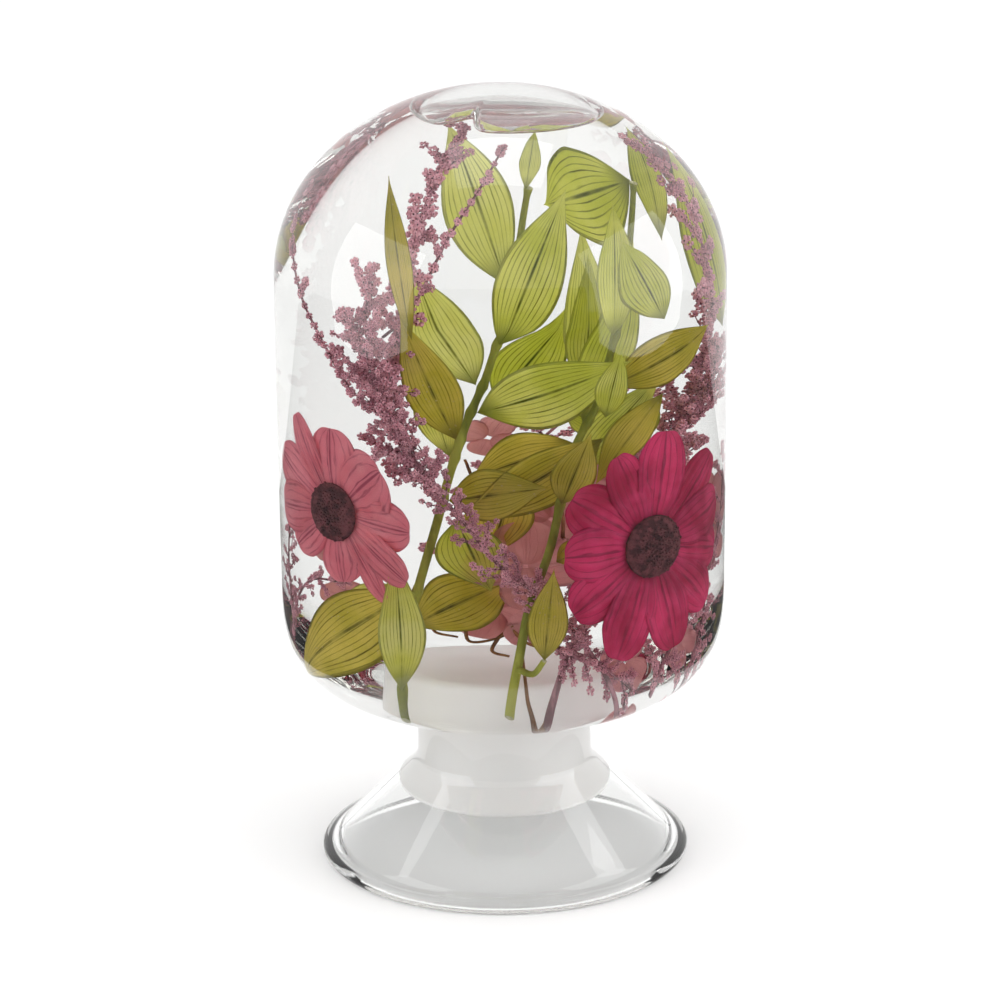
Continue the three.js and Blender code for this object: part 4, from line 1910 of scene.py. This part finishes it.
LOOSE_STALKS = [
    (
        "curled_petiole", [(3, -29, 61), (6, -31.5, 60.5), (8.5, -34, 64)],
        np.linspace(0.75, 0.6, 16), STEM, CUT_END, Slot.STEM,
    ),
    (
        "looped_thread",
        [
            (3.5, -27, 66), (4.3, -27.5, 58), (5, -27.5, 54), (6.8, -27.2, 51.9), (8.8, -27, 52.6),
            (9.6, -26.7, 54.5),
        ],
        np.linspace(0.3, 0.55, 40), TWIG, TWIG, Slot.SPRIG,
    ),
]
SPRIGS = [
    Sprig("sprig_front_growth", [
        (24, -25, 52), (20, -27, 60), (15, -30, 69), (10, -32, 77), (-1, -33, 88), (-9, -34, 100),
        (-16, -33, 109), (-21, -31, 117), (-25, -27, 128), (-28, -25, 141),
    ], 31, "sprig_front", bare=0.14, branches=72, reach=7, bud_size=0.8, chain=0.75, twigs=2, taper=-0.3,
        spacing=1.7, spread=0.85),
    Sprig("sprig_left_mass", [
        (-13, -34, 106), (-19, -31, 114), (-24, -28, 124), (-28, -25, 134), (-28, -22, 144), (-25, -20, 150),
    ], 38, None, bare=0.0, branches=34, reach=13, bud_size=1.2, chain=1.1, twigs=2, spacing=2.6),
    Sprig("sprig_left_tall_growth", [
        (-23, -23, 124), (-20, -17, 136), (-18, -15, 148), (-16, -16, 158), (-13, -12, 168), (-7, -10, 181),
    ], 32, "sprig_left_tall", bare=0.0, branches=24, reach=6, bud_size=1.25, chain=1.3, twigs=1, spacing=2.5),
    Sprig("sprig_left_slim_growth", [
        (-22, -15, 140), (-17, -20, 147), (-14, -22, 153), (-10, -20, 160), (-4, -18, 169), (1, -17, 179),
    ], 33, "sprig_left_slim", bare=0.1, branches=5, reach=3, bud_size=1.0, chain=1.1, twigs=0, radius=0.35,
        bead_gap=2.3),
    Sprig("sprig_left_outer_growth", [
        (-30, -20, 127), (-34, -14, 136), (-37, -8, 144), (-40, -4, 152), (-42, -2, 160), (-40, 0, 168),
    ], 34, "sprig_left_outer", bare=0.0, branches=7, reach=4, bud_size=1.0, chain=1.15, twigs=0, radius=0.4,
        bead_gap=2.4),
    Sprig("sprig_right_tall_growth", [
        (24, 12, 104), (29, 12, 122), (35, 7, 140), (36, 3, 152), (34, 2, 163), (28, -1, 175),
    ], 35, "sprig_right_tall", bare=0.1, branches=24, reach=8, bud_size=1.2, chain=1.1, twigs=1, spacing=2.7),
    Sprig("sprig_right_mass", [
        (22, 6, 100), (27, 8, 108), (32, 8, 116), (36, 6, 124), (39, 3, 132),
    ], 39, None, bare=0.0, branches=28, reach=13, bud_size=1.15, chain=1.0, twigs=2, spacing=2.6),
    Sprig("sprig_low_right_growth", [
        (30, -20, 54), (34, -17, 62), (41, -11, 74), (45, -4, 88), (44, 2, 104),
    ], 36, "sprig_low_right", bare=0.0, branches=30, reach=9, bud_size=0.85, twigs=2, spacing=1.9),
    Sprig("sprig_low_middle", [
        (11, -29, 66), (15, -28, 63), (20, -26, 60), (26, -22, 55),
    ], 40, None, bare=0.0, branches=18, reach=7, bud_size=0.8, twigs=1, spacing=1.8),
    Sprig("sprig_low_corner", [
        (34, -10, 52), (38, -8, 60), (40, -6, 70),
    ], 41, None, bare=0.0, branches=14, reach=9, bud_size=0.85, twigs=1),
    Sprig("sprig_low_front_growth", [
        (8.6, -27, 52), (10, -26.5, 55), (12, -26, 61), (15, -25.5, 70),
    ], 37, "sprig_low_front", radius=0.9, bare=0.4, branches=10, reach=6, bud_size=0.75, twigs=1),
    Sprig("sprig_low_left", [
        (-47, -12, 62), (-45, -14, 72), (-40, -16, 78), (-31, -20, 79),
    ], 42, None, bare=0.0, branches=16, reach=5, bud_size=0.8, twigs=1),
    Sprig("sprig_left_edge", [
        (-42, -4, 64), (-43, -3, 80), (-42, -5, 94),
    ], 43, None, bare=0.0, branches=14, reach=7, bud_size=0.85, twigs=1),
    Sprig("sprig_behind", [
        (-4, 26, 62), (-2, 30, 84), (4, 32, 104), (12, 30, 118),
    ], 44, None, bare=0.1, branches=20, reach=12, bud_size=1.2, twigs=1, spacing=2.7),
]
HYDRANGEA = Hydrangea(
    [(-13, 4, 65), (-5, 6, 63), (1, 8, 70), (8, 10, 78), (16, 12, 90)],
    [
        FloretPlan((4, -8, 82), (0, -1, 0.3), 11),
        FloretPlan((8, 0, 92), (0.2, -1, 0.5), 9, 40),
        FloretPlan((-2, 0, 70), (-0.3, -1, 0), 8, 20),
        FloretPlan((5, -9, 67), (0.1, -1, -0.2), 5.5, 60),
        FloretPlan((22, -10, 58), (0.2, -1, 0.2), 4.5, 30),
        FloretPlan((35, -14, 62), (0.5, -1, 0), 5, 10),
        FloretPlan((39, 0, 93), (0.6, -0.8, 0.1), 8, 50),
        FloretPlan((-26, 0, 70), (-0.4, -1, 0), 5.5, 15),
        FloretPlan((-2, 10, 111), (0, -1, 0.1), 5, 25),
        FloretPlan((18, 10, 99), (0.1, -1, 0.1), 8, 70),
        FloretPlan((9, 20, 93), (0.3, 1, 0.3), 9, 50),
        FloretPlan((0, 24, 80), (-0.3, 1, 0.2), 10, 30),
        FloretPlan((14, 16, 78), (0.4, 1, 0.1), 8, 65),
        FloretPlan((-24, 14, 80), (-0.6, 1, 0.1), 5, 20),
        FloretPlan((28, 16, 86), (1, 0.5, 0.2), 7, 45),
        FloretPlan((41, -4, 82), (0.9, -0.8, 0.1), 6, 25),
    ],
    [
        [(-11, -4, 69), (-7, -7, 67), (-6, -8, 63), (-1, -9, 64), (3, -8, 67)],
        [(-1, -9, 64), (3, -9, 68), (8, -7, 67)],
        [(1, -9, 67), (4, -10, 63), (8, -10, 61)],
        [(-11, -4, 69), (-12, -6, 65), (-8, -8, 64)],
        [(-12, -6, 65.5), (-15, -8, 67), (-17, -9, 65)],
        [(-7, -7, 67), (-8, -9, 70), (-5, -11, 71)],
        [(-1, -9, 64), (-2, -10, 61), (1, -11, 60)],
        [(3, -9, 68), (6, -11, 70), (8, -12, 68)],
        [(8, 10, 78), (10, -2, 88), (10, -8, 97), (7, -10, 102)],
        [(10, -2, 88), (13, -8, 82), (12, -10, 76)],
        [(4, 8, 95), (-4, 4, 101), (-6, 2, 107)],
    ],
)


# ---- Studio ----


@dataclass(frozen=True)
class Softbox:
    """A soft rectangular lamp that faces a point. Lengths are in metres."""

    name: str
    place: Point
    target: Point
    width: float
    height: float
    radiance: float
    colour: Colour = (1.0, 1.0, 1.0)

    def build(self) -> None:
        """Adds the lamp."""
        light = bpy.data.lights.new(self.name, "AREA")
        light.shape = "RECTANGLE"
        light.size, light.size_y = self.width, self.height
        light.energy = self.radiance * math.pi * self.width * self.height
        light.color = self.colour
        lamp = bpy.data.objects.new(self.name, light)
        lamp.location = self.place
        lamp.rotation_euler = (Vector(self.target) - Vector(self.place)).to_track_quat("-Z", "Y").to_euler()
        bpy.context.scene.collection.objects.link(lamp)


@dataclass
class Studio:
    """A bright white sweep with soft lamps left, right and overhead, and the camera."""

    floor_size: float = 6.0
    world_colour: Colour = (1.0, 1.0, 1.0)
    world_strength: float = 1.08
    lamps: Sequence[Softbox] = (
        Softbox("left_softbox", (-0.36, -0.16, 0.21), (0.0, 0.0, 0.11), 0.34, 0.36, 2.4),
        Softbox("right_softbox", (0.37, -0.12, 0.21), (0.0, 0.0, 0.11), 0.4, 0.36, 2.4),
        Softbox("top_softbox", (0.0, 0.1, 1.0), (0.0, 0.0, 0.1), 0.5, 0.5, 2.0),
    )
    flag_reach: float = 1.2
    flag_back: float = 1.3
    flag_front: float = -0.13
    flag_end: float = 0.3
    flag_side: float = 0.105
    flag_height: float = 0.001
    room_flag_height: float = 0.5
    camera_place: Point = (-0.00057, -0.9646, 0.3910)
    camera_dip: float = 17.25
    camera_roll: float = 0.5
    lens: float = 147.3
    sensor_width: float = 36.0

    def build_floor(self) -> None:
        """Adds the pale table."""
        maker = MeshMaker()
        h = self.floor_size / 2
        first = maker.put(np.array([[-h, -h, 0], [h, -h, 0], [h, h, 0], [-h, h, 0]]))
        maker.face((first, first + 1, first + 2, first + 3))
        maker.make("table_top", (FLOOR,))

    def build_world(self) -> None:
        """Fills the world with soft white light."""
        world = bpy.data.worlds.new("white_room")
        bpy.context.scene.world = world
        world.use_nodes = True
        sky = world.node_tree.nodes["Background"]
        sky.inputs["Color"].default_value = rgba(self.world_colour)
        sky.inputs["Strength"].default_value = self.world_strength

    def build_flag(self, name: str, corners: Sequence[Point]) -> None:
        """Adds a dark card that only shows in glass and gloss, and gives clear edges their dark lines.

        Args:
            name: the card's name.
            corners: its corners, in metres.
        """
        maker = MeshMaker()
        first = maker.put(np.array(corners))
        maker.face(range(first, first + len(corners)))
        card = maker.make(name, (DARK_CARD,))
        card.visible_camera = card.visible_diffuse = card.visible_transmission = card.visible_shadow = False

    def level_card(self, left: float, right: float, near: float, far: float) -> list[Point]:
        """Places a level card just above the table.

        Args:
            left: where it starts from side to side, in metres.
            right: where it ends.
            near: where it starts from front to back.
            far: where it ends.

        Returns:
            Its corners.
        """
        height = self.flag_height
        return [(left, near, height), (right, near, height), (right, far, height), (left, far, height)]

    def build_flags(self) -> None:
        """Adds the cards: one before the vessel, one standing behind the camera and one at each side."""
        reach, back, top = self.flag_reach, -self.flag_back, self.room_flag_height
        self.build_flag("front_flag", self.level_card(-reach, reach, back, self.flag_front))
        wall = [(-reach, back, 0.0), (reach, back, 0.0), (reach, back, top), (-reach, back, top)]
        self.build_flag("room_flag", wall)
        for side in (-1, 1):
            left, right = sorted((side * self.flag_side, side * reach))
            card = self.level_card(left, right, self.flag_front, self.flag_end)
            self.build_flag(f"side_flag_{side + 1}", card)

    def build_camera(self) -> None:
        """Adds the camera, which looks down a little at the vessel."""
        dip, roll = math.radians(self.camera_dip), math.radians(self.camera_roll)
        ahead = Vector((0.0, math.cos(dip), -math.sin(dip)))
        level = Vector((1.0, 0.0, 0.0))
        above = Vector((0.0, math.sin(dip), math.cos(dip)))
        right = level * math.cos(roll) - above * math.sin(roll)
        top = level * math.sin(roll) + above * math.cos(roll)
        data = bpy.data.cameras.new("camera")
        data.lens = self.lens
        data.sensor_width = self.sensor_width
        camera = bpy.data.objects.new("camera", data)
        turn = Matrix((right, top, -ahead)).transposed().to_4x4()
        camera.matrix_basis = Matrix.Translation(Vector(self.camera_place)) @ turn
        bpy.context.scene.collection.objects.link(camera)
        bpy.context.scene.camera = camera

    def build(self) -> None:
        """Adds everything round the object."""
        scene = bpy.context.scene
        scene.view_settings.view_transform = "Standard"
        scene.cycles.max_bounces = 48
        scene.cycles.transmission_bounces = 44
        scene.cycles.glossy_bounces = 24
        scene.cycles.diffuse_bounces = 6
        scene.cycles.transparent_max_bounces = 16
        self.build_floor()
        self.build_world()
        self.build_flags()
        for lamp in self.lamps:
            lamp.build()
        self.build_camera()


def main() -> None:
    """Builds the object and its studio."""
    logging.basicConfig(level=logging.INFO, format="%(message)s")
    Vessel().build()
    Liquid().build()
    Stopper().build()
    for part in (LEFT_BRANCH, RIGHT_BRANCH, CRIMSON_DAISY, ROSE_DAISY, *SPRIGS, HYDRANGEA):
        part.build()
    for name, route, radii, finish, end_finish, slot in LOOSE_STALKS:
        line = smooth_route(route, len(radii))
        settle(sweep(name, line, radii * MM, finish, end_finish), slot, [])
    start = np.array(LOOSE_LEAF.start) * MM
    loose = make_leaf("loose_blade", LOOSE_LEAF, start, LOOSE_LEAF_SEED)
    settle(loose, Slot.OLIVE_LEAF, ["loose_leaf_1"])
    for number, plan in enumerate(EXTRA_LEAVES, 1):
        start = np.array(plan.start) * MM
        leaf = make_leaf(f"inner_blade_{number:02d}", plan, start, EXTRA_LEAF_SEED + number)
        settle(leaf, plan.slot(), [])
    Studio().build()


if __name__ == "__main__":
    main()
